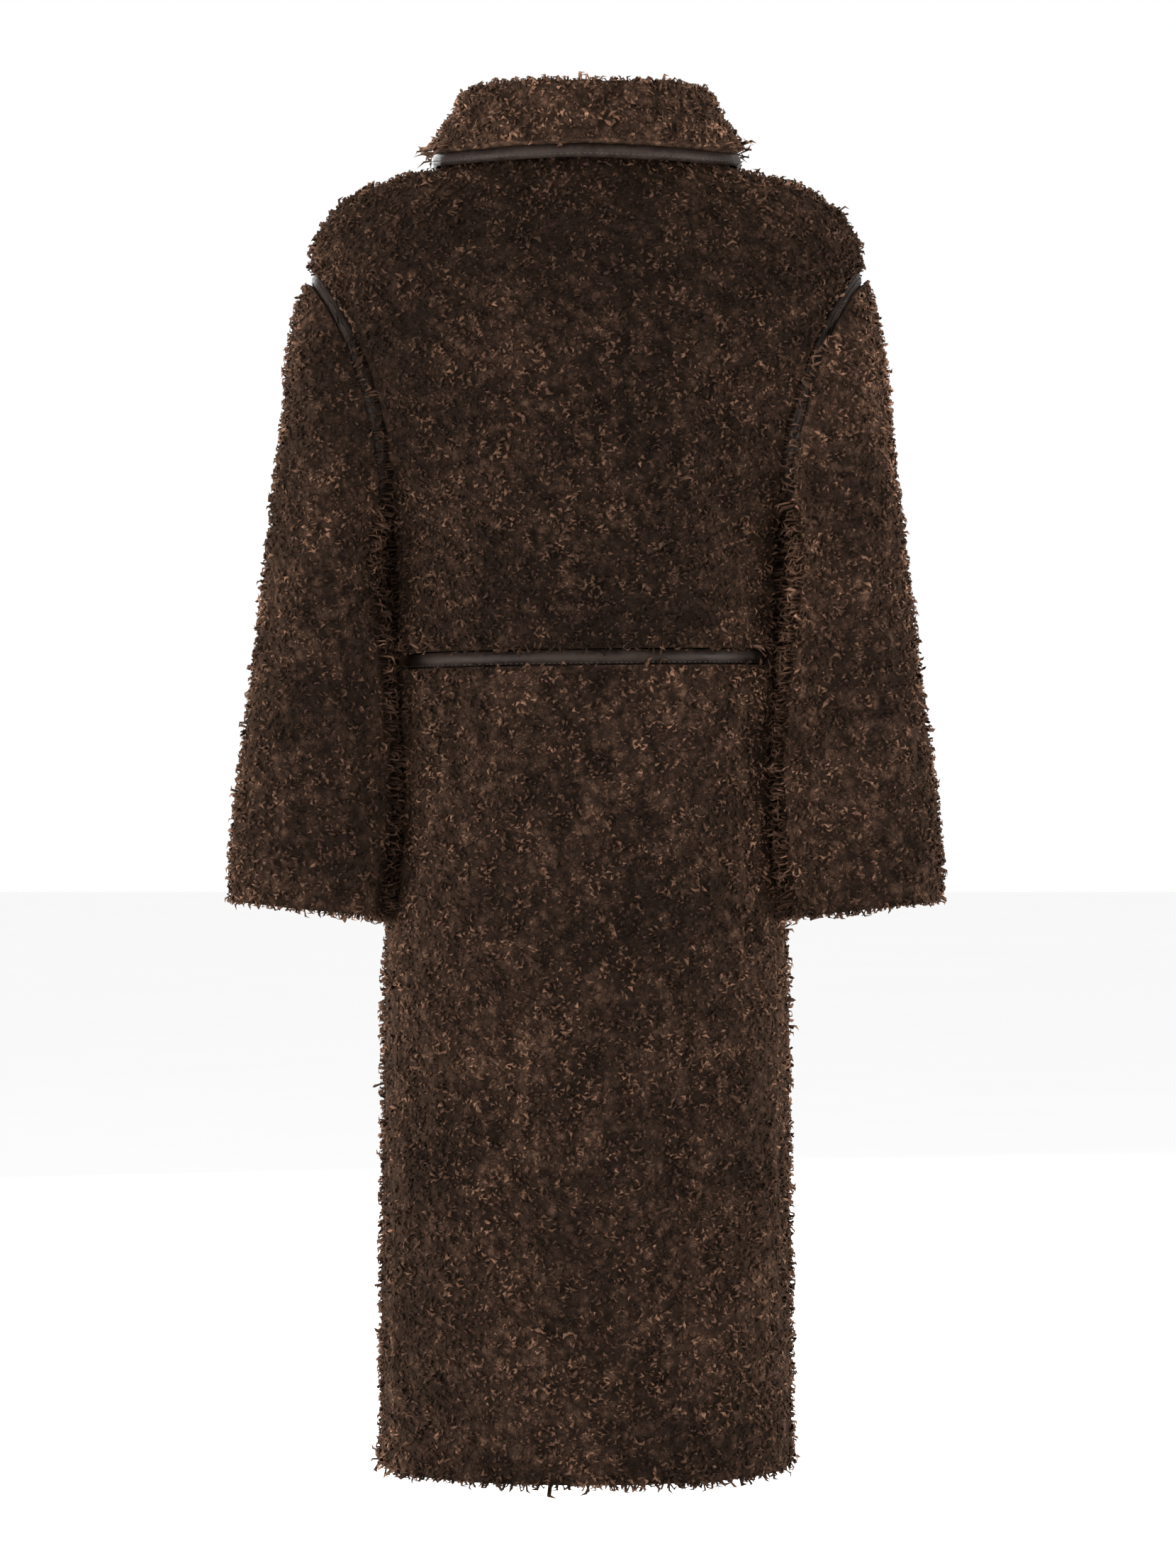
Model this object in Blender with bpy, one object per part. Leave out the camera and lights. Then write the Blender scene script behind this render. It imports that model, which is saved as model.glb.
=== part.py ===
"""Long curly faux fur coat in its worn shape, with nobody in it.

The coat faces -Y and the wearer's left is +X. The origin is the middle of the neck opening,
where a wearer holds the coat up. Every cloth piece is a closed wall through level lines or
rings: the outer side is the mean reach of the pile, the inner side is the backing cloth.
Four dark leather strips lie sunk in the seams: under the collar's edge, round each armhole
and across the back of the waist.
"""

import math
from typing import NamedTuple

import bpy
import numpy as np

# ---------------------------------------------------------------- driving sizes, in metres
WALL = 0.014                # backing cloth with its standing pile
SEAM_GAP = 0.0004           # between two pieces that are sewn together
ARMHOLE_GAP = 0.0016        # the same where the walls twist round the armhole
NECK_GAP = 0.0012           # between the body's neck edge and the collar's stand
LAP_GAP = 0.0008            # between the two fronts where they lap
ROUNDNESS = 2.2             # power of the body's level lines, 2 is an ellipse
SLEEVE_ROUNDNESS = 2.4      # power of the sleeve's rings

HEM_HEIGHT = -1.211
WAIST_HEIGHT = -0.4565      # middle of the waist strip at centre back
WAIST_TILT = math.tan(math.radians(0.7))   # the strip sits a little lower on the wearer's left
WAIST_TILT_FADE = (0.030, 0.110)      # heights off the strip where the tilt fades and ends

NECK_DIP_BACK = 0.004       # centre back of the neckline below its side point
NECK_DIP_FRONT = 0.056      # centre front of the neckline below its side point
NECK_DIP_END = -0.250       # the level lines are flat from here down
NECK_DIP_POWER = 1.5        # how fast that slope grows towards the neck

LAP_REACH = 0.035           # each front passes the centre front by this much
LAP_STEP_START = 0.038      # the under front begins to come out from under the other one
LAP_STEP_END = 0.078        # and is flush with it again

STRIP_HEIGHT = 0.015        # leather strip across the waist
STRIP_WIDTH_COLLAR = 0.013  # leather strip along the collar's edge
STRIP_EDGE_SUNK = 0.0090    # its long edges below the pile's reach
STRIP_CROWN_SUNK = 0.0055   # its rounded middle below the pile's reach

COLLAR_FOLD_RADIUS = 0.015  # middle line of the cloth over the collar's fold
COLLAR_END_ANGLE = 177.0    # degrees from centre back to each front end of the collar

ARMHOLE_TURN_DROP = 33.0    # degrees by which a line turns less where it ends at the armhole
ARMHOLE_TURN_POWER = 0.9    # how that drop spreads over the armhole, 1 is a sine

# ---------------------------------------------------------------- divisions
BACK_COLUMNS = 20           # across the whole back
FRONT_SIDE_COLUMNS = 8      # from the lap's flush line to the side seam
ARMHOLE_LEVELS = 12         # level lines that end at the armhole
SLEEVE_COLUMNS = 2 * ARMHOLE_LEVELS   # so that the sleeve's corners meet the body's at the strip
STRIP_LEVELS = 4            # across a leather strip's rounded side
COLLAR_STEPS = 36
COLLAR_FOLD_STEPS = 5
COLLAR_FALL_SHARES = (0.33, 0.66, 1.0)   # rows down the collar's fall
SKIRT_LEVELS = (-0.800, -1.030, -1.130)  # more level lines below the waist, for the drape folds
SHARP_ANGLE = 50.0          # degrees; edges that turn more than this stay sharp

FRONT_INNER_COLUMNS = (-LAP_REACH, -0.012, 0.012, LAP_STEP_START, 0.048, 0.058, 0.068, LAP_STEP_END)

WOOL_BROWN = (0.036, 0.019, 0.012, 1.0)
STRIP_BROWN = (0.045, 0.034, 0.029, 1.0)


class ShoulderPoint(NamedTuple):
    """One point of the shoulder seam, from the neck out to the top of the armhole."""
    reach: float
    height: float


class SidePoint(NamedTuple):
    """One level under the arm: the widest half width and where the side seam lies."""
    height: float
    half_width: float
    seam_angle: float       # degrees round from centre back


class ProfilePoint(NamedTuple):
    """One point of the centre back or centre front line."""
    height: float
    depth: float


class SleeveRing(NamedTuple):
    """One ring of the sleeve, from its under point to its outer point."""
    inner_x: float
    inner_z: float
    outer_x: float
    outer_z: float
    half_depth: float       # along Y
    middle: float           # Y of the ring's middle
    bow: float              # how far its front and back bend towards the body


class CollarSection(NamedTuple):
    """One section of the folded collar, by its angle round from centre back."""
    angle: float            # degrees
    fold_top: float         # height of the top of the fold
    edge_height: float      # height of the lower edge, strip included
    edge_reach: float       # outward from the neck seam to the middle of the cloth at the edge


class Fold(NamedTuple):
    """One soft drape fold: a long trough with the cloth rising beside it."""
    x: float
    top: float
    bottom: float
    half_width: float
    depth: float            # negative stands out
    lean: float             # sideways drift from top to bottom


SHOULDER = [
    ShoulderPoint(0.095, 0.018),
    ShoulderPoint(0.125, 0.010),
    ShoulderPoint(0.155, 0.001),
    ShoulderPoint(0.185, -0.006),
    ShoulderPoint(0.215, -0.016),
    ShoulderPoint(0.239, -0.033),
    ShoulderPoint(0.253, -0.053),
    ShoulderPoint(0.259, -0.072),
]

SIDE = [
    SidePoint(-0.340, 0.184, 90.0),
    SidePoint(-0.375, 0.184, 83.0),
    SidePoint(-0.412, 0.183, 78.0),
    SidePoint(-0.560, 0.179, 71.0),
    SidePoint(-0.640, 0.182, 69.0),
    SidePoint(-0.709, 0.189, 68.0),
    SidePoint(-0.930, 0.192, 67.0),
    SidePoint(HEM_HEIGHT, 0.195, 66.0),
]

CENTRE_BACK = [
    ProfilePoint(0.014, 0.078),
    ProfilePoint(-0.010, 0.093),
    ProfilePoint(-0.050, 0.109),
    ProfilePoint(-0.110, 0.119),
    ProfilePoint(-0.200, 0.125),
    ProfilePoint(-0.340, 0.125),
    ProfilePoint(-0.460, 0.122),
    ProfilePoint(-0.700, 0.132),
    ProfilePoint(-0.930, 0.142),
    ProfilePoint(HEM_HEIGHT, 0.150),
]

CENTRE_FRONT = [
    ProfilePoint(-0.038, 0.086),
    ProfilePoint(-0.070, 0.103),
    ProfilePoint(-0.125, 0.121),
    ProfilePoint(-0.220, 0.131),
    ProfilePoint(-0.340, 0.131),
    ProfilePoint(-0.460, 0.127),
    ProfilePoint(-0.700, 0.134),
    ProfilePoint(-0.930, 0.140),
    ProfilePoint(HEM_HEIGHT, 0.145),
]

# the body's edge at the armhole; the leather strip lies between it and the first sleeve ring
ARMHOLE = SleeveRing(0.184, -0.340, 0.261, -0.088, 0.088, 0.000, 0.027)

SLEEVE = [
    SleeveRing(0.1945, -0.347, 0.2645, -0.1005, 0.089, 0.002, 0.026),
    SleeveRing(0.1955, -0.352, 0.2720, -0.122, 0.092, 0.004, 0.023),
    SleeveRing(0.1960, -0.358, 0.2785, -0.158, 0.093, 0.007, 0.019),
    SleeveRing(0.1955, -0.366, 0.2830, -0.205, 0.092, 0.011, 0.014),
    SleeveRing(0.1945, -0.377, 0.2875, -0.256, 0.089, 0.015, 0.009),
    SleeveRing(0.1925, -0.393, 0.2930, -0.307, 0.085, 0.020, 0.005),
    SleeveRing(0.1900, -0.420, 0.2990, -0.361, 0.080, 0.025, 0.002),
    SleeveRing(0.1865, -0.458, 0.3060, -0.422, 0.075, 0.029, 0.000),
    SleeveRing(0.1825, -0.506, 0.3135, -0.482, 0.070, 0.033, 0.000),
    SleeveRing(0.1795, -0.556, 0.3215, -0.538, 0.067, 0.036, 0.000),
    SleeveRing(0.1800, -0.608, 0.3285, -0.593, 0.064, 0.038, 0.000),
    SleeveRing(0.1835, -0.655, 0.3330, -0.641, 0.062, 0.039, 0.000),
    SleeveRing(0.1870, -0.696, 0.3330, -0.681, 0.061, 0.040, 0.000),
]

COLLAR = [
    CollarSection(0.0, 0.079, 0.004, 0.038),
    CollarSection(30.0, 0.080, 0.003, 0.042),
    CollarSection(50.0, 0.081, 0.003, 0.048),
    CollarSection(70.0, 0.081, 0.006, 0.053),
    CollarSection(90.0, 0.0805, 0.012, 0.053),
    CollarSection(105.0, 0.075, 0.006, 0.051),
    CollarSection(120.0, 0.066, -0.009, 0.047),
    CollarSection(150.0, 0.041, -0.045, 0.038),
    CollarSection(180.0, 0.027, -0.062, 0.034),
]

BACK_FOLDS = [
    Fold(-0.135, -0.125, -0.400, 0.020, 0.0060, 0.014),
    Fold(-0.168, -0.150, -0.330, 0.013, 0.0045, 0.006),
    Fold(0.140, -0.150, -0.380, 0.020, 0.0035, -0.008),
    Fold(0.060, -0.620, -1.160, 0.034, 0.0040, 0.012),
    Fold(-0.085, -0.700, -1.190, 0.030, 0.0045, -0.010),
]

FRONT_FOLDS = [
    Fold(0.140, -0.140, -0.380, 0.020, 0.0050, 0.010),
    Fold(-0.138, -0.130, -0.400, 0.021, 0.0055, -0.012),
    Fold(0.115, -0.640, -1.170, 0.032, 0.0045, 0.010),
    Fold(-0.118, -0.600, -1.150, 0.030, 0.0040, -0.012),
]

# on a sleeve x is a share of a turn round it, and heights are shares of its length, downwards
SLEEVE_FOLDS = [
    Fold(0.30, -0.45, -0.92, 0.050, 0.0045, 0.06),
    Fold(0.17, -0.30, -0.70, 0.045, 0.0035, -0.05),
    Fold(0.62, -0.40, -0.85, 0.050, 0.0040, 0.05),
    Fold(0.80, -0.35, -0.80, 0.045, 0.0040, -0.06),
]


# ---------------------------------------------------------------- curves
def smooth_through(knots, values, places):
    """Values of a smooth curve without overshoot through the table's points."""
    knots, values = np.asarray(knots, float), np.asarray(values, float)
    if knots[0] > knots[-1]:
        knots, values = knots[::-1], values[::-1]
    steps = np.diff(knots)
    slopes = np.diff(values) / steps
    tangents = np.concatenate([slopes[:1], np.zeros(len(knots) - 2), slopes[-1:]])
    for i in range(1, len(knots) - 1):
        if slopes[i - 1] * slopes[i] > 0.0:
            tangents[i] = 2.0 * slopes[i - 1] * slopes[i] / (slopes[i - 1] + slopes[i])
    places = np.clip(places, knots[0], knots[-1])
    cell = np.clip(np.searchsorted(knots, places, side="right") - 1, 0, len(steps) - 1)
    step = steps[cell]
    share = (places - knots[cell]) / step
    rise = values[cell + 1] - values[cell]
    start, end = tangents[cell] * step, tangents[cell + 1] * step
    return (values[cell] + share * start + share ** 2 * (3.0 * rise - 2.0 * start - end)
            + share ** 3 * (start + end - 2.0 * rise))


def smoothstep(start, end, value):
    """Ease from 0 at start to 1 at end."""
    share = np.clip((value - start) / (end - start), 0.0, 1.0)
    return share * share * (3.0 - 2.0 * share)


def signed_power(value, power):
    return np.sign(value) * np.abs(value) ** power


def profile_depth(profile, height):
    """Depth of a centre line at a height."""
    return smooth_through([p.height for p in profile], [p.depth for p in profile], height)


def fold_relief(folds, x, height):
    """How far the drape folds move the cloth in, at a place seen square on."""
    relief = np.zeros_like(x)
    for fold in folds:
        along = np.clip((fold.top - height) / (fold.top - fold.bottom), 0.0, 1.0)
        centre = fold.x + fold.lean * along
        across = (x - centre) / fold.half_width
        relief += fold.depth * np.sin(math.pi * along) * (1.5 - across ** 2) * np.exp(-across ** 2 / 2.0)
    return relief


# ---------------------------------------------------------------- rings and level lines
def ring_points(ring, angles):
    """Points round one sleeve ring; angle 0 is its outer point, 90 its back."""
    inner = np.array([ring.inner_x, 0.0, ring.inner_z])
    outer = np.array([ring.outer_x, 0.0, ring.outer_z])
    middle = (inner + outer) / 2.0
    half = (outer - inner) / 2.0
    length = np.linalg.norm(half)
    towards_body = np.array([-half[2], 0.0, half[0]]) / length
    power = 2.0 / SLEEVE_ROUNDNESS
    along = signed_power(np.cos(angles), power)[:, None]
    across = signed_power(np.sin(angles), power)[:, None]
    points = middle + along * half + np.sin(angles)[:, None] ** 2 * ring.bow * towards_body
    points = points + across * np.array([0.0, ring.half_depth, 0.0])
    points[:, 1] += ring.middle
    return points


class Level(NamedTuple):
    """One level line of the body: where it ends at the side and how far it has turned there."""
    height: float
    reach: float
    back_end: float
    front_end: float
    back_turn: float
    front_turn: float


def level_lines():
    """All level lines from the neck to the hem, with those beside the waist strip's edges."""
    levels = [Level(p.height, p.reach, 0.0, 0.0, 90.0, 90.0) for p in SHOULDER]
    angles = np.linspace(0.0, math.pi, ARMHOLE_LEVELS + 1)[:-1]
    for angle, point in zip(angles, ring_points(ARMHOLE, angles)):
        turn = 90.0 - ARMHOLE_TURN_DROP * math.sin(angle) ** ARMHOLE_TURN_POWER
        levels.append(Level(point[2], point[0], point[1], -point[1], turn, turn))
    strip_half = STRIP_HEIGHT / 2.0
    heights = sorted([p.height for p in SIDE] + list(SKIRT_LEVELS)
                     + [WAIST_HEIGHT + strip_half * k / 2.0 for k in (-2, -1, 0, 1, 2)], reverse=True)
    for height in heights:
        side_heights = [p.height for p in SIDE]
        half_width = float(smooth_through(side_heights, [p.half_width for p in SIDE], height))
        turn = float(smooth_through(side_heights, [p.seam_angle for p in SIDE], height))
        depth = float(profile_depth(CENTRE_BACK, height))
        power = 2.0 / ROUNDNESS
        reach = half_width * math.sin(math.radians(turn)) ** power
        end = depth * max(math.cos(math.radians(turn)), 0.0) ** power
        levels.append(Level(height, reach, end, end, turn, 180.0 - turn))
    return levels


def neck_dip(height, dip):
    """How far a level line sinks at the centre because of the neckline's slope."""
    top = SHOULDER[0].height
    return dip * np.clip((height - NECK_DIP_END) / (top - NECK_DIP_END), 0.0, 1.0) ** NECK_DIP_POWER


def line_points(level, angles, front):
    """Points along one level line; angle 0 is the centre, negative angles are at -X."""
    turn = math.radians(level.front_turn if front else level.back_turn)
    end = level.front_end if front else level.back_end
    centre_height = level.height - neck_dip(level.height, NECK_DIP_FRONT if front else NECK_DIP_BACK)
    centre = (-profile_depth(CENTRE_FRONT, centre_height) if front
              else profile_depth(CENTRE_BACK, centre_height))
    power = 2.0 / ROUNDNESS
    turned = signed_power(math.cos(turn), power) if abs(math.cos(turn)) > 1e-9 else 0.0
    x = level.reach * signed_power(np.sin(angles), power) / math.sin(turn) ** power
    y = end + (centre - end) * (signed_power(np.cos(angles), power) - turned) / (1.0 - turned)
    towards_centre = np.clip((np.cos(angles) - math.cos(turn)) / (1.0 - math.cos(turn)), 0.0, 1.0)
    z = level.height + (centre_height - level.height) * towards_centre ** 2
    tilt = 1.0 - smoothstep(*WAIST_TILT_FADE, abs(level.height - WAIST_HEIGHT))
    return np.stack([x, y, z - WAIST_TILT * tilt * x], axis=1)


def surface_normals(points, outward):
    """Unit normals of a lattice of points, all on the side given by the outward directions."""
    down = np.gradient(points, axis=0)
    across = np.gradient(points, axis=1)
    normals = np.cross(down, across)
    normals /= np.linalg.norm(normals, axis=2, keepdims=True)
    facing = np.sign(np.sum(normals * outward, axis=2, keepdims=True))
    return normals * facing


def shared_normals(first, second):
    """Directions halfway between two pieces' normals, so that their walls meet at a seam."""
    shared = first + second
    return shared / np.linalg.norm(shared, axis=-1, keepdims=True)


def evened_ring(normals, passes=3):
    """Normals round a closed ring, averaged with their neighbours so that the rim turns evenly."""
    for _ in range(passes):
        normals = 2.0 * normals + np.roll(normals, 1, axis=0) + np.roll(normals, -1, axis=0)
        normals /= np.linalg.norm(normals, axis=-1, keepdims=True)
    return normals


def outward_from_axis(points):
    """Directions away from the coat's upright middle line."""
    outward = points.copy()
    outward[..., 2] = 0.0
    return outward


def mirrored(points, side):
    """The same points at the wearer's left (side 1) or right (side -1)."""
    return points * np.array([side, 1.0, 1.0])


def ring_normals(rings):
    """Outward normals of a tube given as rows of rings."""
    wrapped = np.concatenate([rings[:, -1:], rings, rings[:, :1]], axis=1)
    outward = wrapped - rings.mean(axis=1, keepdims=True)
    return surface_normals(wrapped, outward)[:, 1:-1]


def relieved(points, folds, sewn_start):
    """The lattice with its drape folds, which die out at the sewn sides, and its normals."""
    normals = surface_normals(points, outward_from_axis(points))
    columns = np.arange(points.shape[1])
    fade = smoothstep(1.0, 3.0, columns[::-1])
    if sewn_start:
        fade = fade * smoothstep(1.0, 3.0, columns)
    relief = fold_relief(folds, points[..., 0], points[..., 2]) * fade
    points = points - normals * relief[..., None]
    return points, surface_normals(points, outward_from_axis(points))


def plain_back(levels):
    """Outer points of the whole back with one spare column past each side."""
    shares = np.linspace(-1.0, 1.0, BACK_COLUMNS + 1)
    step = shares[1] - shares[0]
    shares = np.concatenate([[-1.0 - step], shares, [1.0 + step]])
    return np.array([line_points(level, shares * math.radians(level.back_turn), front=False)
                     for level in levels])


def plain_front(levels, side):
    """Outer points of one front, lapped edge first, with one spare column past the side seam."""
    rows = []
    for level in levels:
        turn = math.radians(level.front_turn)
        widest = level.reach / math.sin(turn) ** (2.0 / ROUNDNESS)
        inner = np.array(FRONT_INNER_COLUMNS) / widest
        inner = np.arcsin(signed_power(inner, ROUNDNESS / 2.0))
        outer = np.linspace(inner[-1], turn, FRONT_SIDE_COLUMNS + 1)[1:]
        beyond = outer[-1] + (outer[-1] - outer[-2])
        angles = np.concatenate([inner, outer, [beyond]])
        rows.append(line_points(level, side * angles, front=True))
    return np.array(rows)


def armhole_rows():
    """Row numbers of the level lines that end on the armhole, its lowest point included."""
    first = len(SHOULDER)
    return slice(first, first + ARMHOLE_LEVELS + 1)


def strip_ring_lattice():
    """Points and normals of the armhole strip's surface, body's edge first."""
    angles = np.linspace(0.0, 2.0 * math.pi, SLEEVE_COLUMNS, endpoint=False)
    body_edge, sleeve_edge = ring_points(ARMHOLE, angles), ring_points(SLEEVE[0], angles)
    shares = np.linspace(0.0, 1.0, STRIP_LEVELS + 1)[:, None, None]
    points = body_edge[None] + (sleeve_edge - body_edge)[None] * shares
    return points, ring_normals(points)


def side_normals(levels):
    """Normals along the back's and the front's ends at +X, shared with what is sewn there.

    The shoulder and side seams join back and front; in between, both join the armhole strip.
    The third result is the strip's own edge, in the order of its ring.
    """
    back = surface_normals(plain_back(levels), outward_from_axis(plain_back(levels)))[:, -2]
    front = surface_normals(plain_front(levels, 1.0), outward_from_axis(plain_front(levels, 1.0)))[:, -2]
    seam = shared_normals(back, front)
    strip = strip_ring_lattice()[1][0]
    rows = armhole_rows()
    body = np.concatenate([back[rows], front[rows][-2:0:-1]])
    body[0], body[ARMHOLE_LEVELS] = seam[rows.start], seam[rows.stop - 1]
    ring = evened_ring(shared_normals(body, strip))
    back_edge, front_edge = seam.copy(), seam.copy()
    back_edge[rows] = ring[:ARMHOLE_LEVELS + 1]
    front_edge[rows] = np.roll(ring[::-1], 1, axis=0)[:ARMHOLE_LEVELS + 1]
    return back_edge, front_edge, ring


def back_lattice(levels):
    """Outer points and normals of the whole back, one row for each level line."""
    points, normals = relieved(plain_back(levels), BACK_FOLDS, sewn_start=True)
    points, normals = points[:, 1:-1], normals[:, 1:-1]
    edge = side_normals(levels)[0]
    normals[:, -1] = edge
    normals[:, 0] = mirrored(edge, -1.0)
    return points, normals


def front_lattice(levels, side):
    """Outer points and normals of one front, from its lapped edge to the side seam."""
    points, normals = relieved(plain_front(levels, side), FRONT_FOLDS, sewn_start=False)
    points, normals = points[:, :-1], normals[:, :-1]
    normals[:, -1] = mirrored(side_normals(levels)[1], side)
    return points, normals


# ---------------------------------------------------------------- walls
def eased_edges(points, gap, sides):
    """Move the named edges of a lattice into it by half of the seam's gap."""
    points = points.copy()
    moves = {"top": (0, 1, 0), "bottom": (-1, -2, 0), "start": (0, 1, 1), "end": (-1, -2, 1)}
    for side in sides:
        edge, inside, axis = moves[side]
        line = np.take(points, edge, axis=axis)
        along = np.take(points, inside, axis=axis) - line
        along /= np.linalg.norm(along, axis=1, keepdims=True)
        moved = line + along * gap / 2.0
        if axis == 0:
            points[edge] = moved
        else:
            points[:, edge] = moved
    return points


def wall_faces(rows, columns, closed):
    """Quads of a wall whose outer lattice comes first and inner lattice second."""
    def outer(r, c):
        return r * columns + c % columns

    def inner(r, c):
        return rows * columns + outer(r, c)

    faces = []
    last = columns if closed else columns - 1
    for r in range(rows - 1):
        for c in range(last):
            faces.append((outer(r, c), outer(r + 1, c), outer(r + 1, c + 1), outer(r, c + 1)))
            faces.append((inner(r, c), inner(r, c + 1), inner(r + 1, c + 1), inner(r + 1, c)))
    for c in range(last):
        faces.append((outer(0, c), outer(0, c + 1), inner(0, c + 1), inner(0, c)))
        faces.append((outer(rows - 1, c), inner(rows - 1, c), inner(rows - 1, c + 1),
                      outer(rows - 1, c + 1)))
    if not closed:
        for r in range(rows - 1):
            faces.append((outer(r, 0), inner(r, 0), inner(r + 1, 0), outer(r + 1, 0)))
            faces.append((outer(r, columns - 1), outer(r + 1, columns - 1),
                          inner(r + 1, columns - 1), inner(r, columns - 1)))
    return faces


def signed_volume(points, faces):
    """Six times the volume inside the faces, negative where they face inwards."""
    total = 0.0
    for face in faces:
        first = points[face[0]]
        for k in range(1, len(face) - 1):
            total += np.dot(first, np.cross(points[face[k]], points[face[k + 1]]))
    return total


def add_solid(name, points, faces, material, collection):
    """One closed smooth-shaded solid from lofted points."""
    points = np.asarray(points)
    if signed_volume(points, faces) < 0.0:
        faces = [face[::-1] for face in faces]
    mesh = bpy.data.meshes.new(name)
    mesh.from_pydata(points.tolist(), [], faces)
    mesh.validate()
    mesh.shade_smooth()
    mesh.set_sharp_from_angle(angle=math.radians(SHARP_ANGLE))
    mesh.materials.append(material)
    solid = bpy.data.objects.new(name, mesh)
    collection.objects.link(solid)
    return solid


def add_wall(name, outer, inner, material, collection, closed=False):
    """One piece of cloth or strip between an outer and an inner lattice."""
    rows, columns = outer.shape[:2]
    points = np.concatenate([outer.reshape(-1, 3), inner.reshape(-1, 3)])
    return add_solid(name, points, wall_faces(rows, columns, closed), material, collection)


def make_material(name, colour, roughness):
    """Plain material of one piece."""
    material = bpy.data.materials.new(name)
    material.use_nodes = True
    shader = material.node_tree.nodes["Principled BSDF"]
    shader.inputs["Base Color"].default_value = colour
    shader.inputs["Roughness"].default_value = roughness
    shader.inputs["Metallic"].default_value = 0.0
    material.diffuse_color = colour
    return material


def fur_material(name):
    return make_material(name + "_fur", WOOL_BROWN, 0.9)


def strip_material(name):
    return make_material(name + "_leather", STRIP_BROWN, 0.45)


# ---------------------------------------------------------------- the body's pieces
def strip_sunk(rows):
    """How far each long line of a leather strip lies below the pile's reach."""
    shares = np.linspace(-1.0, 1.0, rows)
    return STRIP_CROWN_SUNK + (STRIP_EDGE_SUNK - STRIP_CROWN_SUNK) * shares ** 2


def waist_rows(levels):
    """Row numbers of the waist strip's upper and lower edge."""
    half = STRIP_HEIGHT / 2.0
    rows = [i for i, level in enumerate(levels) if abs(level.height - WAIST_HEIGHT) <= half + 1e-6]
    return rows[0], rows[-1]


def build_back(levels, collection):
    """Upper back, lower back and the leather strip between them."""
    points, normals = back_lattice(levels)
    strip_top, strip_bottom = waist_rows(levels)
    pieces = {
        "back_upper": (slice(0, strip_top + 1), ("start", "end", "bottom")),
        "back_lower": (slice(strip_bottom, len(levels)), ("start", "end", "top")),
    }
    for name, (rows, seams) in pieces.items():
        outer = points[rows]
        inner = outer - WALL * normals[rows]
        add_wall(name, eased_edges(outer, SEAM_GAP, seams), eased_edges(inner, SEAM_GAP, seams),
                 fur_material(name), collection)
    rows = slice(strip_top, strip_bottom + 1)
    sunk = strip_sunk(strip_bottom - strip_top + 1)[:, None, None]
    seams = ("start", "end", "top", "bottom")
    outer = eased_edges(points[rows] - sunk * normals[rows], SEAM_GAP, seams)
    inner = eased_edges(points[rows] - WALL * normals[rows], SEAM_GAP, seams)
    add_wall("waist_strip", outer, inner, strip_material("waist_strip"), collection)


def build_front(name, levels, side, under, collection):
    """One front; the under one steps in by its wall where the other laps it."""
    points, normals = front_lattice(levels, side)
    if under:
        from_centre = points[..., 0] * side
        step_in = (WALL + LAP_GAP) * (1.0 - smoothstep(LAP_STEP_START, LAP_STEP_END, from_centre))
        points = points - normals * step_in[..., None]
    outer = eased_edges(points, SEAM_GAP, ("end",))
    inner = eased_edges(points - WALL * normals, SEAM_GAP, ("end",))
    add_wall(name, outer, inner, fur_material(name), collection)


# ---------------------------------------------------------------- sleeves
def sleeve_lattice():
    """Outer points and normals of the wearer's left sleeve, one row for each ring."""
    angles = np.linspace(0.0, 2.0 * math.pi, SLEEVE_COLUMNS, endpoint=False)
    rings = np.array([ring_points(ring, angles) for ring in SLEEVE])
    turns = np.tile(angles / (2.0 * math.pi), (len(SLEEVE), 1))
    lengths = np.tile(np.linspace(0.0, 1.0, len(SLEEVE))[:, None], (1, SLEEVE_COLUMNS))
    rings = rings - ring_normals(rings) * fold_relief(SLEEVE_FOLDS, turns, -lengths)[..., None]
    return rings, ring_normals(rings)


def sleeve_seam_normals():
    """Normals along the seam of the sleeve with the armhole strip."""
    return evened_ring(shared_normals(sleeve_lattice()[1][0], strip_ring_lattice()[1][-1]))


def build_sleeve(name, side, collection):
    """One sleeve, a tube from the armhole strip to the cuff."""
    points, normals = sleeve_lattice()
    normals[0] = sleeve_seam_normals()
    outer = eased_edges(points, ARMHOLE_GAP, ("top",))
    inner = eased_edges(points - WALL * normals, ARMHOLE_GAP, ("top",))
    add_wall(name, mirrored(outer, side), mirrored(inner, side), fur_material(name), collection,
             closed=True)


def build_armhole_strip(name, side, levels, collection):
    """Leather strip round one armhole, between the body's edge and the sleeve's first ring."""
    points, normals = strip_ring_lattice()
    normals[0] = side_normals(levels)[2]
    normals[-1] = sleeve_seam_normals()
    sunk = strip_sunk(STRIP_LEVELS + 1)[:, None, None]
    seams = ("top", "bottom")
    outer = eased_edges(points - sunk * normals, ARMHOLE_GAP, seams)
    inner = eased_edges(points - WALL * normals, ARMHOLE_GAP, seams)
    add_wall(name, mirrored(outer, side), mirrored(inner, side), strip_material(name), collection,
             closed=True)


# ---------------------------------------------------------------- collar
def neck_ring(levels, degrees):
    """Points of the neck seam and the level directions straight out of it."""
    neck = levels[0]

    def point(angle):
        front = abs(angle) > 90.0
        turned = math.copysign(180.0 - abs(angle), angle) if front else angle
        return line_points(neck, np.array([math.radians(turned)]), front)[0]

    step = 0.5
    seam = np.array([point(angle) for angle in degrees])
    along = np.array([point(angle + step) - point(angle - step) for angle in degrees])
    out = np.stack([along[:, 1], -along[:, 0], np.zeros(len(degrees))], axis=1)
    out /= np.linalg.norm(out, axis=1, keepdims=True)
    out *= np.sign(np.sum(out * outward_from_axis(seam), axis=1, keepdims=True))
    return seam, out


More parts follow.
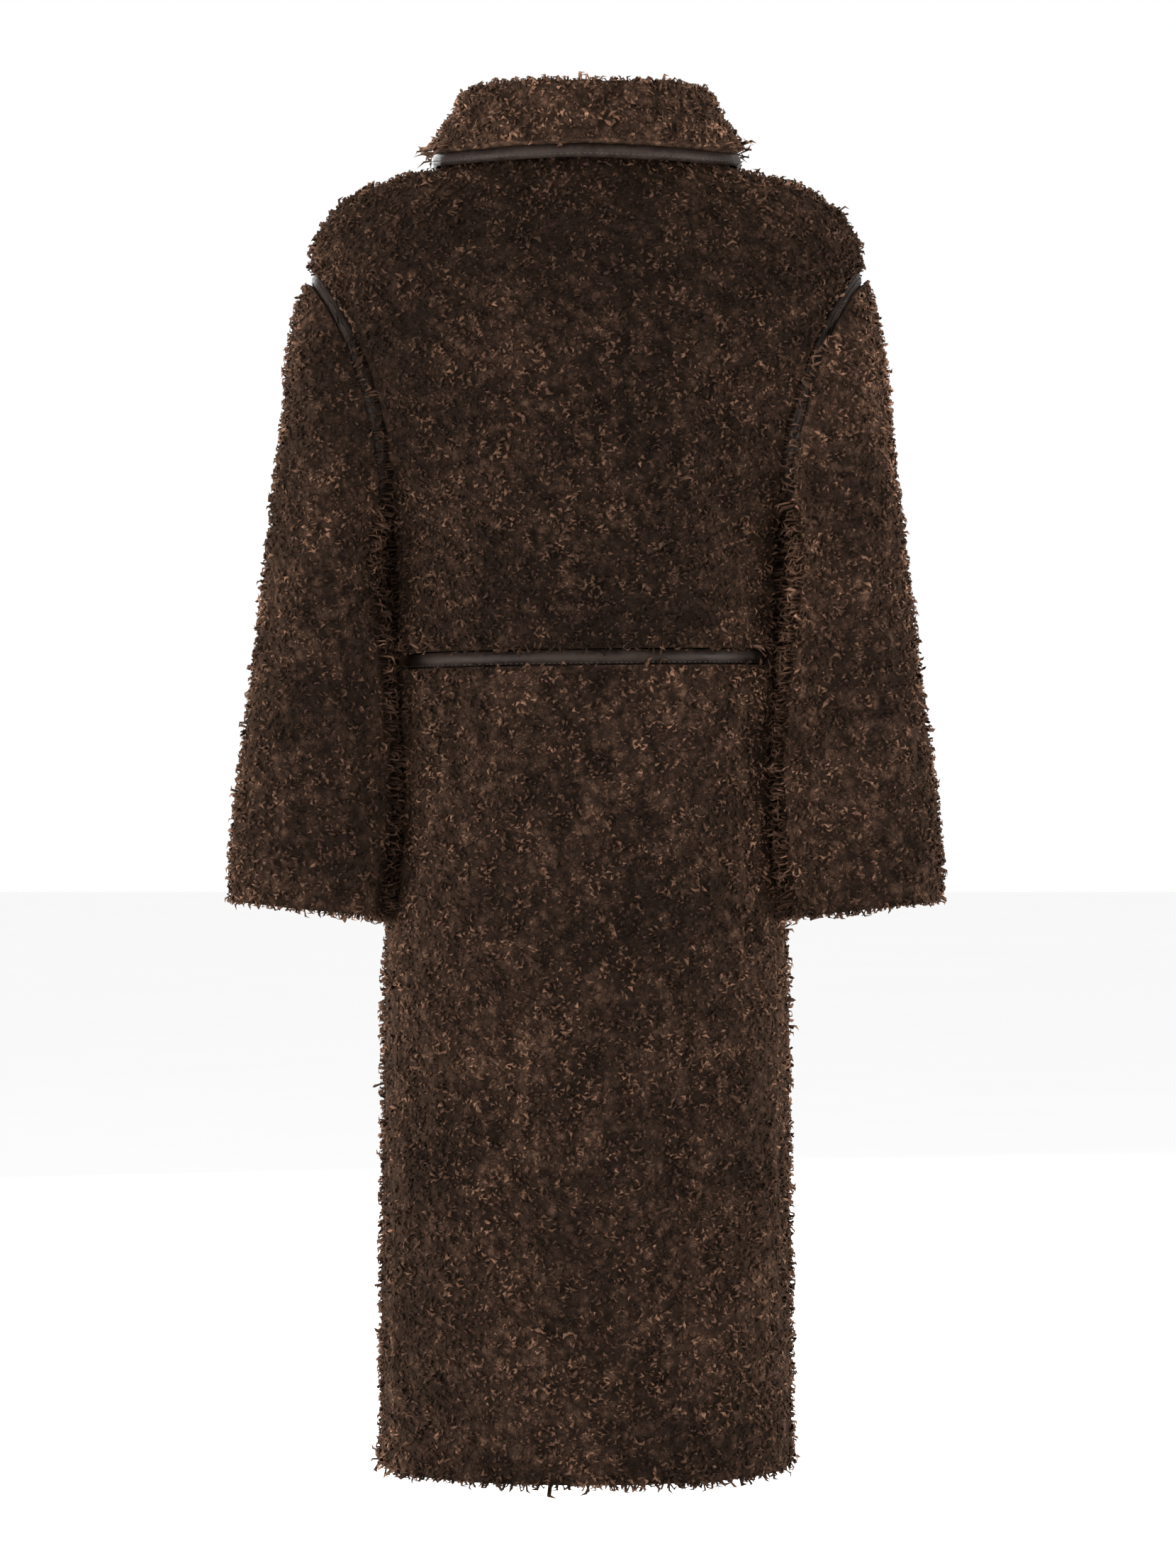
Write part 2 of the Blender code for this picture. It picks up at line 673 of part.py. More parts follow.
def collar_path(section, neck_height):
    """Middle line of the cloth, outward and up: stand, fold and fall, down to the strip."""
    radius = COLLAR_FOLD_RADIUS
    stand = -WALL / 2.0
    shoulder = section.fold_top - WALL / 2.0 - radius
    path = [(stand, neck_height + NECK_GAP), (stand, (neck_height + shoulder) / 2.0)]
    for angle in np.linspace(180.0, 0.0, COLLAR_FOLD_STEPS + 1):
        turned = math.radians(angle)
        path.append((stand + radius + radius * math.cos(turned), shoulder + radius * math.sin(turned)))
    top = np.array(path[-1])
    edge = np.array([section.edge_reach, section.edge_height])
    length = np.linalg.norm(edge - top)
    down = (edge - top) / length
    for share in COLLAR_FALL_SHARES:
        path.append(tuple(top + down * (length - STRIP_WIDTH_COLLAR - SEAM_GAP) * share))
    return np.array(path), edge, down


def path_sides(path):
    """The two faces of cloth laid along a middle line in a plane, outer face first."""
    along = np.gradient(path, axis=0)
    along /= np.linalg.norm(along, axis=1, keepdims=True)
    across = np.stack([-along[:, 1], along[:, 0]], axis=1)
    return path + across * WALL / 2.0, path - across * WALL / 2.0


def build_collar(levels, collection):
    """The folded collar and the leather strip along its lower edge."""
    degrees = np.linspace(-COLLAR_END_ANGLE, COLLAR_END_ANGLE, COLLAR_STEPS + 1)
    seam, out = neck_ring(levels, degrees)
    angles = [s.angle for s in COLLAR]
    columns = {}
    for field in ("fold_top", "edge_height", "edge_reach"):
        values = [getattr(s, field) for s in COLLAR]
        columns[field] = smooth_through(angles, values, np.abs(degrees))
    cloth_outer, cloth_inner, strip_outer, strip_inner = [], [], [], []
    up = np.array([0.0, 0.0, 1.0])
    for i in range(len(degrees)):
        section = CollarSection(degrees[i], columns["fold_top"][i], columns["edge_height"][i],
                                columns["edge_reach"][i])
        path, edge, down = collar_path(section, seam[i][2])
        ground = seam[i] * np.array([1.0, 1.0, 0.0])

        def placed(flat):
            return ground + flat[:, :1] * out[i] + flat[:, 1:] * up

        faces = path_sides(path)
        cloth_outer.append(placed(faces[0]))
        cloth_inner.append(placed(faces[1]))
        across = np.array([-down[1], down[0]])
        shares = np.linspace(0.0, 1.0, STRIP_LEVELS + 1)[:, None]
        middle = edge - down * STRIP_WIDTH_COLLAR * (1.0 - shares)
        sunk = strip_sunk(STRIP_LEVELS + 1)[:, None]
        strip_outer.append(placed(middle + across * (WALL / 2.0 - sunk)))
        strip_inner.append(placed(middle - across * WALL / 2.0))
    add_wall("collar", np.array(cloth_outer), np.array(cloth_inner), fur_material("collar"), collection)
    add_wall("collar_strip", np.array(strip_outer), np.array(strip_inner),
             strip_material("collar_strip"), collection)


def clear_scene():
    """Remove what the file starts with."""
    for thing in list(bpy.data.objects):
        bpy.data.objects.remove(thing, do_unlink=True)


def main():
    clear_scene()
    collection = bpy.data.collections.new("faux_fur_coat")
    bpy.context.scene.collection.children.link(collection)
    levels = level_lines()
    build_back(levels, collection)
    build_front("front_left", levels, 1.0, True, collection)
    build_front("front_right", levels, -1.0, False, collection)
    for label, side in (("left", 1.0), ("right", -1.0)):
        build_sleeve("sleeve_" + label, side, collection)
        build_armhole_strip("armhole_strip_" + label, side, levels, collection)
    build_collar(levels, collection)


main()
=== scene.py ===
"""Looks of a long faux fur coat with leather strips in its seams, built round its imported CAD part.

Each fur panel is a copy of its solid: the inner side is knitted backing, and the outer side is
moved in, made bumpy and finished as short dense curls. One mesh of curled locks grows over that
side and over the panel's free edges. The leather strips are smooth, slightly puckered copies of
their solids, with stitches along an edge.

The frame is in metres, +Z up. The coat faces -Y, the wearer's left is +X, and the origin is the
middle of the neck opening.
"""

from __future__ import annotations

import logging
import math
from collections.abc import Callable, Iterator
from dataclasses import dataclass, field
from enum import Enum
from functools import cache, partial, reduce

import bmesh
import bpy
import numpy as np
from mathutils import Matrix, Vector, noise
from mathutils.bvhtree import BVHTree
from mathutils.kdtree import KDTree

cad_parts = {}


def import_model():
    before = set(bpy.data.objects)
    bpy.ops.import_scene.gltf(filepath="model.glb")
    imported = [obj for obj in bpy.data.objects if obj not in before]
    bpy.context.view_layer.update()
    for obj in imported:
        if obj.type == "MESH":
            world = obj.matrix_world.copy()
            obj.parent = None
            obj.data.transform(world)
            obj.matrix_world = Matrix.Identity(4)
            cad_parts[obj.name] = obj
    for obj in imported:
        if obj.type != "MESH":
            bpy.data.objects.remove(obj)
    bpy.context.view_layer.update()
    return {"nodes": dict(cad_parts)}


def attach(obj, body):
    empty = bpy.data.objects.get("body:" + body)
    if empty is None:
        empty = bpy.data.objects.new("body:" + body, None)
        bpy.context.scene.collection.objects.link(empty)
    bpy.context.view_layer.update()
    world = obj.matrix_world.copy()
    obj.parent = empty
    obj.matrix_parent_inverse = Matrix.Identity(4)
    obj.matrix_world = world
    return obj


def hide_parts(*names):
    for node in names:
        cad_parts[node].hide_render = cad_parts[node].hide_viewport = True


LOG = logging.getLogger("coat")
PHOTO_SIZE = (1659, 2212)
BODY = "root"
WELD = 0.00001
TINY = 1e-12
NUDGE = 1e-6
FLAT_ANGLE = math.radians(42)
SMOOTH_ANGLE = math.radians(50)
DOWN = np.array((0.0, 0.0, -1.0))
CURL_SCALE = 125.0
BUMP_SIZE = 0.011
WAVE_SIZE, WAVE_SHARE, WAVE_OFFSET = 0.034, 0.5, 5.0

Color = tuple[float, float, float]
Span = tuple[float, float]
Socket = bpy.types.NodeSocket
Nodes = dict[str, bpy.types.Object]
Trees = dict[str, BVHTree]


class Slot(Enum):
    """Material slots of the part."""

    FUR = "fur"
    STRIP = "strip"


# ---------------------------------------------------------------- shader helpers


class ShaderTree:
    """Adds and links nodes in a material's or a group's tree."""

    def __init__(self, tree: bpy.types.NodeTree) -> None:
        """Keeps the tree and empties it."""
        self.tree = tree
        self.tree.nodes.clear()

    def feed(self, target: bpy.types.Node, inputs: dict) -> None:
        """Sets or links inputs of a node.

        Args:
            target: the node.
            inputs: input name or number to a value, or to an output socket that is linked in.
        """
        for name, value in inputs.items():
            if isinstance(value, Socket):
                self.tree.links.new(value, target.inputs[name])
            else:
                target.inputs[name].default_value = value

    def node(self, kind: str, inputs: dict | None = None, **settings: object) -> bpy.types.Node:
        """Adds one node.

        Args:
            kind: the node's type name.
            inputs: what its inputs get, as in feed.
            settings: the node's own properties.

        Returns:
            The new node.
        """
        made = self.tree.nodes.new(kind)
        for name, value in settings.items():
            setattr(made, name, value)
        self.feed(made, inputs or {})
        return made

    def place(self) -> Socket:
        """Returns the Object coordinates."""
        return self.node("ShaderNodeTexCoord").outputs["Object"]

    def attribute(self, name: str, output: str = "Fac") -> Socket:
        """Returns an attribute of the mesh."""
        return self.node("ShaderNodeAttribute", attribute_name=name).outputs[output]

    def group(self, tree: bpy.types.NodeTree, **values: float) -> bpy.types.bpy_prop_collection:
        """Places a shader group with these input values, and returns its outputs."""
        return self.node("ShaderNodeGroup", values, node_tree=tree).outputs

    def math(self, operation: str, a: object, b: object = 0.0) -> Socket:
        """Adds a Math node."""
        return self.node("ShaderNodeMath", {0: a, 1: b}, operation=operation).outputs[0]

    def product(self, *factors: object) -> Socket:
        """Multiplies values or sockets."""
        return reduce(lambda a, b: self.math("MULTIPLY", a, b), factors)

    def weighed(self, a: object, a_share: float, b: object, b_share: float) -> Socket:
        """Adds two values, each times its share."""
        return self.math("ADD", self.product(a, a_share), self.product(b, b_share))

    def vector(self, operation: str, inputs: dict) -> Socket:
        """Adds a Vector Math node."""
        return self.node("ShaderNodeVectorMath", inputs, operation=operation).outputs[0]

    def remap(self, value: object, span: Span = (0.0, 1.0), to: Span = (0.0, 1.0)) -> Socket:
        """Maps a value from one span to another, smoothly, and stops at its ends."""
        inputs = {0: value, 1: span[0], 2: span[1], 3: to[0], 4: to[1]}
        return self.node("ShaderNodeMapRange", inputs, interpolation_type="SMOOTHSTEP").outputs[0]

    def noise(
        self, place: Socket, scale: object, detail: float, roughness: float = 0.5, distortion: float = 0.0
    ) -> Socket:
        """Adds a noise texture."""
        inputs = {"Vector": place, "Scale": scale, "Detail": detail}
        inputs |= {"Roughness": roughness, "Distortion": distortion}
        return self.node("ShaderNodeTexNoise", inputs).outputs[0]

    def bump(self, height: Socket, distance: float, strength: float) -> Socket:
        """Turns a height into a normal."""
        inputs = {"Strength": strength, "Distance": distance, "Height": height}
        return self.node("ShaderNodeBump", inputs).outputs[0]

    def grey(self, value: object) -> Socket:
        """Returns the value as a grey colour."""
        return self.node("ShaderNodeCombineColor", {0: value, 1: value, 2: value}).outputs[0]

    def mix(self, amount: object, a: object, b: object, blend: str = "MIX") -> Socket:
        """Mixes two colours, by the second one's amount."""
        inputs = {"Factor": amount, 6: a, 7: b}
        return self.node("ShaderNodeMix", inputs, data_type="RGBA", blend_type=blend).outputs[2]


class GroupTree(ShaderTree):
    """A shader group whose inputs and outputs are all numbers."""

    SOCKET = "NodeSocketFloat"

    def __init__(self, name: str, *ins: str) -> None:
        """Makes the group and its inputs.

        Args:
            name: the group's name.
            ins: the inputs' names.
        """
        super().__init__(bpy.data.node_groups.new(name, "ShaderNodeTree"))
        for label in ins:
            self.tree.interface.new_socket(label, in_out="INPUT", socket_type=self.SOCKET)
        self.ins = self.node("NodeGroupInput").outputs

    def give(self, **outs: Socket) -> bpy.types.NodeTree:
        """Adds the outputs.

        Args:
            outs: each output's name and the socket that it gets.

        Returns:
            The finished group.
        """
        for label in outs:
            self.tree.interface.new_socket(label, in_out="OUTPUT", socket_type=self.SOCKET)
        self.node("NodeGroupOutput", outs)
        return self.tree


class Effects:
    """Shader groups that several finishes share, each built once."""

    WANDER = 0.009
    CURL_RINGS, HAIR_RINGS = 30.0, 16.0
    HAIR_SCALE = 620.0

    @staticmethod
    @cache
    def patches() -> bpy.types.NodeTree:
        """Broad lighter and darker patches and smaller mottling, on Object coordinates."""
        sheet = GroupTree("patches", "Broad", "Small")
        place = sheet.place()
        broad = sheet.noise(place, sheet.ins["Broad"], 2.0)
        small = sheet.noise(place, sheet.ins["Small"], 2.0, 0.6)
        return sheet.give(Shade=sheet.remap(sheet.weighed(broad, 0.5, small, 0.5), (0.36, 0.64)))

    @staticmethod
    @cache
    def strands() -> bpy.types.NodeTree:
        """Fine hairs that run along each lock, on the pile's own map."""
        sheet = GroupTree("strands", "Hairs", "Bends")
        place = sheet.node("ShaderNodeUVMap", uv_map="pile").outputs[0]
        parts = sheet.node("ShaderNodeSeparateXYZ", {0: place}).outputs
        across = sheet.product(parts[0], sheet.ins["Hairs"])
        along = sheet.product(parts[1], sheet.ins["Bends"])
        spot = sheet.node("ShaderNodeCombineXYZ", {0: across, 1: along}).outputs[0]
        hairs = sheet.noise(spot, 1.0, 3.0, 0.65)
        return sheet.give(Shade=sheet.remap(hairs, (0.34, 0.66)), Height=hairs)

    @staticmethod
    @cache
    def curls() -> bpy.types.NodeTree:
        """Round curls of hair, each with its own tone, on Object coordinates."""
        sheet = GroupTree("curls", "Scale")
        place, scale = sheet.place(), sheet.ins["Scale"]
        wander = sheet.node("ShaderNodeTexNoise", {"Vector": place, "Scale": scale, "Detail": 2.0}).outputs[1]
        shift = sheet.vector("SUBTRACT", {0: wander, 1: (0.5, 0.5, 0.5)})
        spot = sheet.vector("ADD", {0: place, 1: sheet.vector("SCALE", {0: shift, "Scale": Effects.WANDER})})
        cell = sheet.node("ShaderNodeTexVoronoi", {"Vector": spot, "Scale": scale}, feature="F1").outputs
        fine = sheet.noise(spot, Effects.HAIR_SCALE, 3.0, 0.6, 1.2)
        rings = sheet.weighed(cell["Distance"], Effects.CURL_RINGS, fine, Effects.HAIR_RINGS)
        return sheet.give(
            Tone=sheet.node("ShaderNodeSeparateColor", {0: cell["Color"]}).outputs[0],
            Dome=sheet.remap(cell["Distance"], (0.1, 0.75), (1.0, 0.0)),
            Hairs=sheet.product(sheet.math("ADD", sheet.math("SINE", rings), 1.0), 0.5),
        )

    @staticmethod
    @cache
    def grain() -> bpy.types.NodeTree:
        """Fine pebbled grain with creases, on Object coordinates."""
        sheet = GroupTree("grain", "Scale")
        place, scale = sheet.place(), sheet.ins["Scale"]
        inputs = {"Vector": place, "Scale": scale}
        cells = sheet.node("ShaderNodeTexVoronoi", inputs, feature="DISTANCE_TO_EDGE").outputs[0]
        fine = sheet.noise(place, scale, 4.0, 0.6)
        return sheet.give(Shade=fine, Height=sheet.weighed(sheet.remap(cells, (0.0, 0.25)), 0.6, fine, 0.7))


def new_material(name: str) -> tuple[bpy.types.Material, ShaderTree, bpy.types.Node]:
    """Makes a material with one Principled BSDF.

    Args:
        name: the finish's name.

    Returns:
        The material, its tree and the shader.
    """
    made = bpy.data.materials.new(name)
    made.use_nodes = True
    sheet = ShaderTree(made.node_tree)
    shader = sheet.node("ShaderNodeBsdfPrincipled")
    sheet.node("ShaderNodeOutputMaterial", {"Surface": shader.outputs[0]})
    return made, sheet, shader


def rgba(color: Color) -> tuple[float, float, float, float]:
    """Adds full opacity to a colour."""
    return (*color, 1.0)


# ---------------------------------------------------------------- finishes


@dataclass(frozen=True)
class PileFinish:
    """Curled acrylic hair: dark deep in the pile, warm brown where it comes to the light.

    The darkening deep in the pile is partly the hair's own lighter tips and partly painted shade.
    Where the cloth is seen along its surface the pile is painted lighter, a painted grazing sheen,
    and each panel's painted light gain paints it lighter or darker as a whole. A span holds the heights
    in the pile between which a colour changes, or the least and most that something is lit by.
    """

    name: str
    deep: Color = (0.0052, 0.0029, 0.0019)
    middle: Color = (0.0108, 0.0056, 0.0034)
    light: Color = (0.0292, 0.0156, 0.0100)
    painted_light_gain: float = 0.96
    painted_grazing_sheen: float = 1.7
    painted_sheen_span: Span = (0.15, 0.85)
    broad_patches: float = 8.0
    small_patches: float = 70.0
    patches: Span = (0.60, 1.50)
    curls: Span = (0.74, 1.6)
    to_middle: Span = (-0.3, 0.7)
    to_light: Span = (0.6, 1.5)
    hairs: float = 6.0
    bends: float = 1.8
    strands: Span = (0.7, 1.3)
    locks: Span = (0.62, 1.95)
    dome_painted_shade: Span = (0.15, 0.75)
    under_strands: Span = (0.45, 1.4)
    under_swell_painted_shade: Span = (0.62, 1.35)
    hair_height: float = 0.0006
    curl_height: float = 0.0024
    bump: float = 0.9
    softness: float = 0.55
    roughness: float = 0.85
    sheen: Color = (0.45, 0.26, 0.16)

    @cache
    def material(self) -> bpy.types.Material:
        """Builds the finish of the locks, once.

        Returns:
            The material.
        """
        made, sheet, shader = new_material(self.name)
        lift, tone = sheet.attribute("lift"), sheet.attribute("tone")
        outward = sheet.attribute("outward", "Vector")
        strands = sheet.group(Effects.strands(), Hairs=self.hairs, Bends=self.bends)
        # Darker deep in the pile and lighter towards the tips: partly the hair's own lighter tips and partly
        # painted shade deep in the pile.
        lower = sheet.mix(sheet.remap(lift, self.to_middle), rgba(self.deep), rgba(self.middle))
        hair = sheet.mix(sheet.remap(lift, self.to_light, (0.0, 0.9)), lower, rgba(self.light))
        lights = sheet.product(
            sheet.remap(strands["Shade"], to=self.strands),
            sheet.remap(tone, to=self.locks),
            self.mottling_and_painted_light(sheet, outward),
        )
        own = sheet.bump(strands["Height"], self.hair_height, self.bump)
        both = sheet.vector("ADD", {
            0: sheet.vector("SCALE", {0: own, "Scale": 1 - self.softness}),
            1: sheet.vector("SCALE", {0: outward, "Scale": self.softness}),
        })
        self.finish(sheet, shader, hair, lights, sheet.vector("NORMALIZE", {0: both}))
        return made

    @cache
    def under_hair(self) -> bpy.types.Material:
        """Builds the finish of the short dense curls between the locks, once.

        Returns:
            The material.
        """
        made, sheet, shader = new_material(self.name + " under hair")
        outward = sheet.node("ShaderNodeNewGeometry").outputs["Normal"]
        curls = sheet.group(Effects.curls(), Scale=CURL_SCALE)
        # Each curl is painted lighter in its middle and darker at its rim: a painted highlight on the curl
        # and painted shade between curls.
        hair = sheet.mix(sheet.remap(curls["Dome"], to=self.dome_painted_shade), rgba(self.deep), rgba(self.light))
        lights = sheet.product(
            sheet.remap(curls["Hairs"], to=self.under_strands),
            # Darker in the dips of the swelling and lighter on its rises: painted shade.
            sheet.remap(sheet.attribute("lift"), (-0.5, 0.5), self.under_swell_painted_shade),
            self.mottling_and_painted_light(sheet, outward),
        )
        height = sheet.math("ADD", curls["Dome"], sheet.product(curls["Hairs"], 0.3))
        self.finish(sheet, shader, hair, lights, sheet.bump(height, self.curl_height, self.bump))
        return made

    def mottling_and_painted_light(self, sheet: ShaderTree, outward: Socket) -> Socket:
        """Works out how light the pile is from place to place.

        Args:
            sheet: the material's tree.
            outward: the cloth's normal.

        Returns:
            A factor's socket.
        """
        patches = sheet.group(Effects.patches(), Broad=self.broad_patches, Small=self.small_patches)["Shade"]
        curls = sheet.group(Effects.curls(), Scale=CURL_SCALE)["Tone"]
        # How squarely the cloth faces the eye, for the painted grazing sheen: the pile is painted lighter
        # where the cloth is seen along its surface.
        facing = sheet.node("ShaderNodeLayerWeight", {"Blend": 0.5, "Normal": outward}).outputs["Facing"]
        # The panel's painted light gain paints the whole panel lighter or darker, and more so along the
        # cloth's surface.
        return sheet.product(
            sheet.remap(patches, to=self.patches),
            sheet.remap(curls, (0.3, 1.0), self.curls),
            sheet.remap(facing, self.painted_sheen_span, (self.painted_light_gain, self.painted_light_gain * self.painted_grazing_sheen)),
        )

    def finish(
        self, sheet: ShaderTree, shader: bpy.types.Node, hair: Socket, lights: Socket, normal: Socket
    ) -> None:
        """Lights the hair's colour, and gives the shader its values with a dull shine.

        Args:
            sheet: the material's tree.
            shader: its shader.
            hair: the colour.
            lights: the factor that it is lit by.
            normal: the normal.
        """
        sheet.feed(shader, {
            "Base Color": sheet.mix(1.0, hair, sheet.grey(lights), "MULTIPLY"),
            "Normal": normal,
            "Roughness": self.roughness,
            "Specular IOR Level": 0.05,
            "Sheen Weight": 0.12,
            "Sheen Roughness": 0.5,
            "Sheen Tint": rgba(self.sheen),
        })


@dataclass(frozen=True)
class BackingFinish:
    """Knitted backing cloth that holds the pile's roots."""

    name: str = "knitted backing"
    dark: Color = (0.012, 0.009, 0.0075)
    light: Color = (0.034, 0.025, 0.02)
    loops: float = 520.0
    loops_in_row: float = 6.0
    loop_height: float = 0.0008

    @cache
    def material(self) -> bpy.types.Material:
        """Builds the finish, once.

        Returns:
            The material.
        """
        made, sheet, shader = new_material(self.name)
        place = sheet.place()
        inputs = {"Vector": place, "Scale": self.loops / self.loops_in_row}
        inputs |= {"Distortion": 2.0, "Detail": 2.0, "Detail Scale": 3.0}
        rows = sheet.node("ShaderNodeTexWave", inputs, wave_type="BANDS", bands_direction="Z").outputs["Fac"]
        height = sheet.math("ADD", rows, sheet.noise(place, self.loops, 3.0))
        sheet.feed(shader, {
            "Base Color": sheet.mix(sheet.remap(height, (0.5, 1.6)), rgba(self.dark), rgba(self.light)),
            "Normal": sheet.bump(height, self.loop_height, 0.6),
            "Roughness": 0.9,
            "Specular IOR Level": 0.1,
        })
        return made


@dataclass(frozen=True)
class LeatherFinish:
    """Soft, slightly worn leather with a fine grain."""

    name: str = "strip leather"
    dark: Color = (0.0080, 0.0052, 0.0041)
    light: Color = (0.0185, 0.0126, 0.0101)
    shine: Color = (1.0, 0.86, 0.78)
    grain: float = 700.0
    grain_height: float = 0.0005
    roughness: Span = (0.36, 0.52)

    @cache
    def material(self) -> bpy.types.Material:
        """Builds the finish, once.

        Returns:
            The material.
        """
        made, sheet, shader = new_material(self.name)
        grain = sheet.group(Effects.grain(), Scale=self.grain)
        patches = sheet.group(Effects.patches(), Broad=30.0, Small=160.0)["Shade"]
        mixed = sheet.remap(sheet.weighed(grain["Shade"], 0.6, patches, 0.4), (0.25, 0.75))
        sheet.feed(shader, {
            "Base Color": sheet.mix(mixed, rgba(self.dark), rgba(self.light)),
            "Roughness": sheet.remap(patches, to=self.roughness),
            "Normal": sheet.bump(grain["Height"], self.grain_height, 0.35),
            "Specular IOR Level": 0.30,
            "IOR": 1.32,
            "Specular Tint": rgba(self.shine),
        })
        return made


@dataclass(frozen=True)
class ThreadFinish:
    """Dark twisted thread."""

    name: str = "stitch thread"
    dark: Color = (0.010, 0.0075, 0.0065)
    light: Color = (0.045, 0.034, 0.028)
    twist: float = 2600.0
    twist_height: float = 0.0002

    @cache
    def material(self) -> bpy.types.Material:
        """Builds the finish, once.

        Returns:
            The material.
        """
        made, sheet, shader = new_material(self.name)
        grain = sheet.group(Effects.grain(), Scale=self.twist)
        sheet.feed(shader, {
            "Base Color": sheet.mix(grain["Shade"], rgba(self.dark), rgba(self.light)),
            "Normal": sheet.bump(grain["Height"], self.twist_height, 0.5),
            "Roughness": 0.6,
        })
        return made


@dataclass(frozen=True)
class FloorFinish:
    """Plain pale floor with a trace of mottling."""

    name: str = "pale floor"
    pale: Color = (0.92, 0.92, 0.92)
    dull: Color = (0.8, 0.8, 0.8)

    @cache
    def material(self) -> bpy.types.Material:
        """Builds the finish, once.

        Returns:
            The material.
        """
        made, sheet, shader = new_material(self.name)
        patches = sheet.group(Effects.patches(), Broad=0.6, Small=4.0)["Shade"]
        color = sheet.mix(sheet.remap(patches, to=(0.0, 0.05)), rgba(self.pale), rgba(self.dull))
        sheet.feed(shader, {"Base Color": color, "Roughness": 0.9})
        return made


# ---------------------------------------------------------------- walls and their sides


def make_active(piece: bpy.types.Object) -> None:
    """Selects one object alone."""
    bpy.ops.object.select_all(action="DESELECT")
    piece.select_set(True)
    bpy.context.view_layer.objects.active = piece


def edit_all(piece: bpy.types.Object, *steps: Callable[[], object]) -> None:
    """Runs mesh operators on the whole of an object.

    Args:
        piece: the object.
        steps: the operators.
    """
    make_active(piece)
    bpy.ops.object.mode_set(mode="EDIT")
    bpy.ops.mesh.select_all(action="SELECT")
    for step in steps:
        step()
    bpy.ops.object.mode_set(mode="OBJECT")


def merged_copy(node: bpy.types.Object, name: str) -> bpy.types.Object:
    """Copies a solid, and joins its loose triangles at their points.

    Args:
        node: the solid.
        name: the copy's name.

    Returns:
        The copy, with no material and no normals of its own.
    """
    piece = bpy.data.objects.new(name, node.data.copy())
    bpy.context.scene.collection.objects.link(piece)
    piece.data.materials.clear()
    piece.data.name = name
    weld = partial(bpy.ops.mesh.remove_doubles, threshold=WELD)
    edit_all(piece, weld, bpy.ops.mesh.customdata_custom_splitnormals_clear)
    return piece


def unit(vectors: np.ndarray) -> np.ndarray:
    """Scales each vector to length one."""
    return vectors / np.maximum(np.linalg.norm(vectors, axis=-1, keepdims=True), TINY)


def along_cloth(vectors: np.ndarray, normals: np.ndarray) -> np.ndarray:
    """Takes away what stands off the cloth in each vector."""
    return vectors - normals * (vectors * normals).sum(axis=1, keepdims=True)


@dataclass
class Wall:
    """A cloth wall as arrays, with its faces sorted into its two broad sides and its rims."""

    points: np.ndarray
    normals: np.ndarray
    triangles: np.ndarray
    side: np.ndarray

    PILE = 0
    BACKING = 1
    SEWN = 0.004

    @classmethod
    def of(cls, piece: bpy.types.Object) -> Wall:
        """Reads a merged solid. The broad side with the larger area is the pile side.

        Args:
            piece: the merged solid.

        Returns:
            Its wall; side is 0 on the pile side, 1 on the backing side and 2 or more on rims.
        """
        bm = bmesh.new()
        bm.from_mesh(piece.data)
        bmesh.ops.triangulate(bm, faces=bm.faces)
        bm.faces.ensure_lookup_table()
        bm.verts.index_update()
        group = [-1] * len(bm.faces)
        areas: list[float] = []
        for first in bm.faces:
            if group[first.index] >= 0:
                continue
            number, area, stack = len(areas), 0.0, [first]
            group[first.index] = number
            while stack:
                face = stack.pop()
                area += face.calc_area()
                for edge in face.edges:
                    if len(edge.link_faces) == 2 and edge.calc_face_angle(math.pi) < FLAT_ANGLE:
                        for other in edge.link_faces:
                            if group[other.index] < 0:
                                group[other.index] = number
                                stack.append(other)
            areas.append(area)
        order = sorted(range(len(areas)), key=lambda i: -areas[i])
        rank = {number: place for place, number in enumerate(order)}
        points = np.array([v.co for v in bm.verts])
        triangles = np.array([[v.index for v in f.verts] for f in bm.faces])
        side = np.array([rank[g] for g in group])
        bm.free()
        return cls(points, cls._smooth_normals(points, triangles, side), triangles, side)

    @staticmethod
    def _crosses(corners: np.ndarray) -> np.ndarray:
        """Returns each triangle's normal, as long as twice its area."""
        return np.cross(corners[:, 1] - corners[:, 0], corners[:, 2] - corners[:, 0])

    @classmethod
    def _smooth_normals(cls, points: np.ndarray, triangles: np.ndarray, side: np.ndarray) -> np.ndarray:
        """Finds each triangle corner's normal, smooth within its side.

        Args:
            points: the points.
            triangles: point numbers, three to a triangle.
            side: the side of each triangle.

        Returns:
            Unit normals, one for each corner of each triangle.
        """
        corners = points[triangles]
        cross = cls._crosses(corners)
        normals = np.zeros_like(corners)
        for number in np.unique(side):
            chosen = side == number
            total = np.zeros_like(points)
            for corner in range(3):
                np.add.at(total, triangles[chosen][:, corner], cross[chosen])
            normals[chosen] = total[triangles[chosen]]
        return unit(normals)

    def areas(self) -> np.ndarray:
        """Returns the area of each triangle."""
        return np.linalg.norm(self._crosses(self.points[self.triangles]), axis=1) / 2

    def free_rims(self, others: list[BVHTree]) -> np.ndarray:
        """Finds the rim triangles that aren't sewn to a neighbour.

        Args:
            others: the neighbours' surfaces.

        Returns:
            True for each triangle of a free rim.
        """
        free = self.side > self.BACKING
        middles = self.points[self.triangles].mean(axis=1)
        for index in np.nonzero(free)[0]:
            spot = Vector(middles[index])
            free[index] = all(tree.find_nearest(spot, self.SEWN)[0] is None for tree in others)
        return free


# ---------------------------------------------------------------- the pile


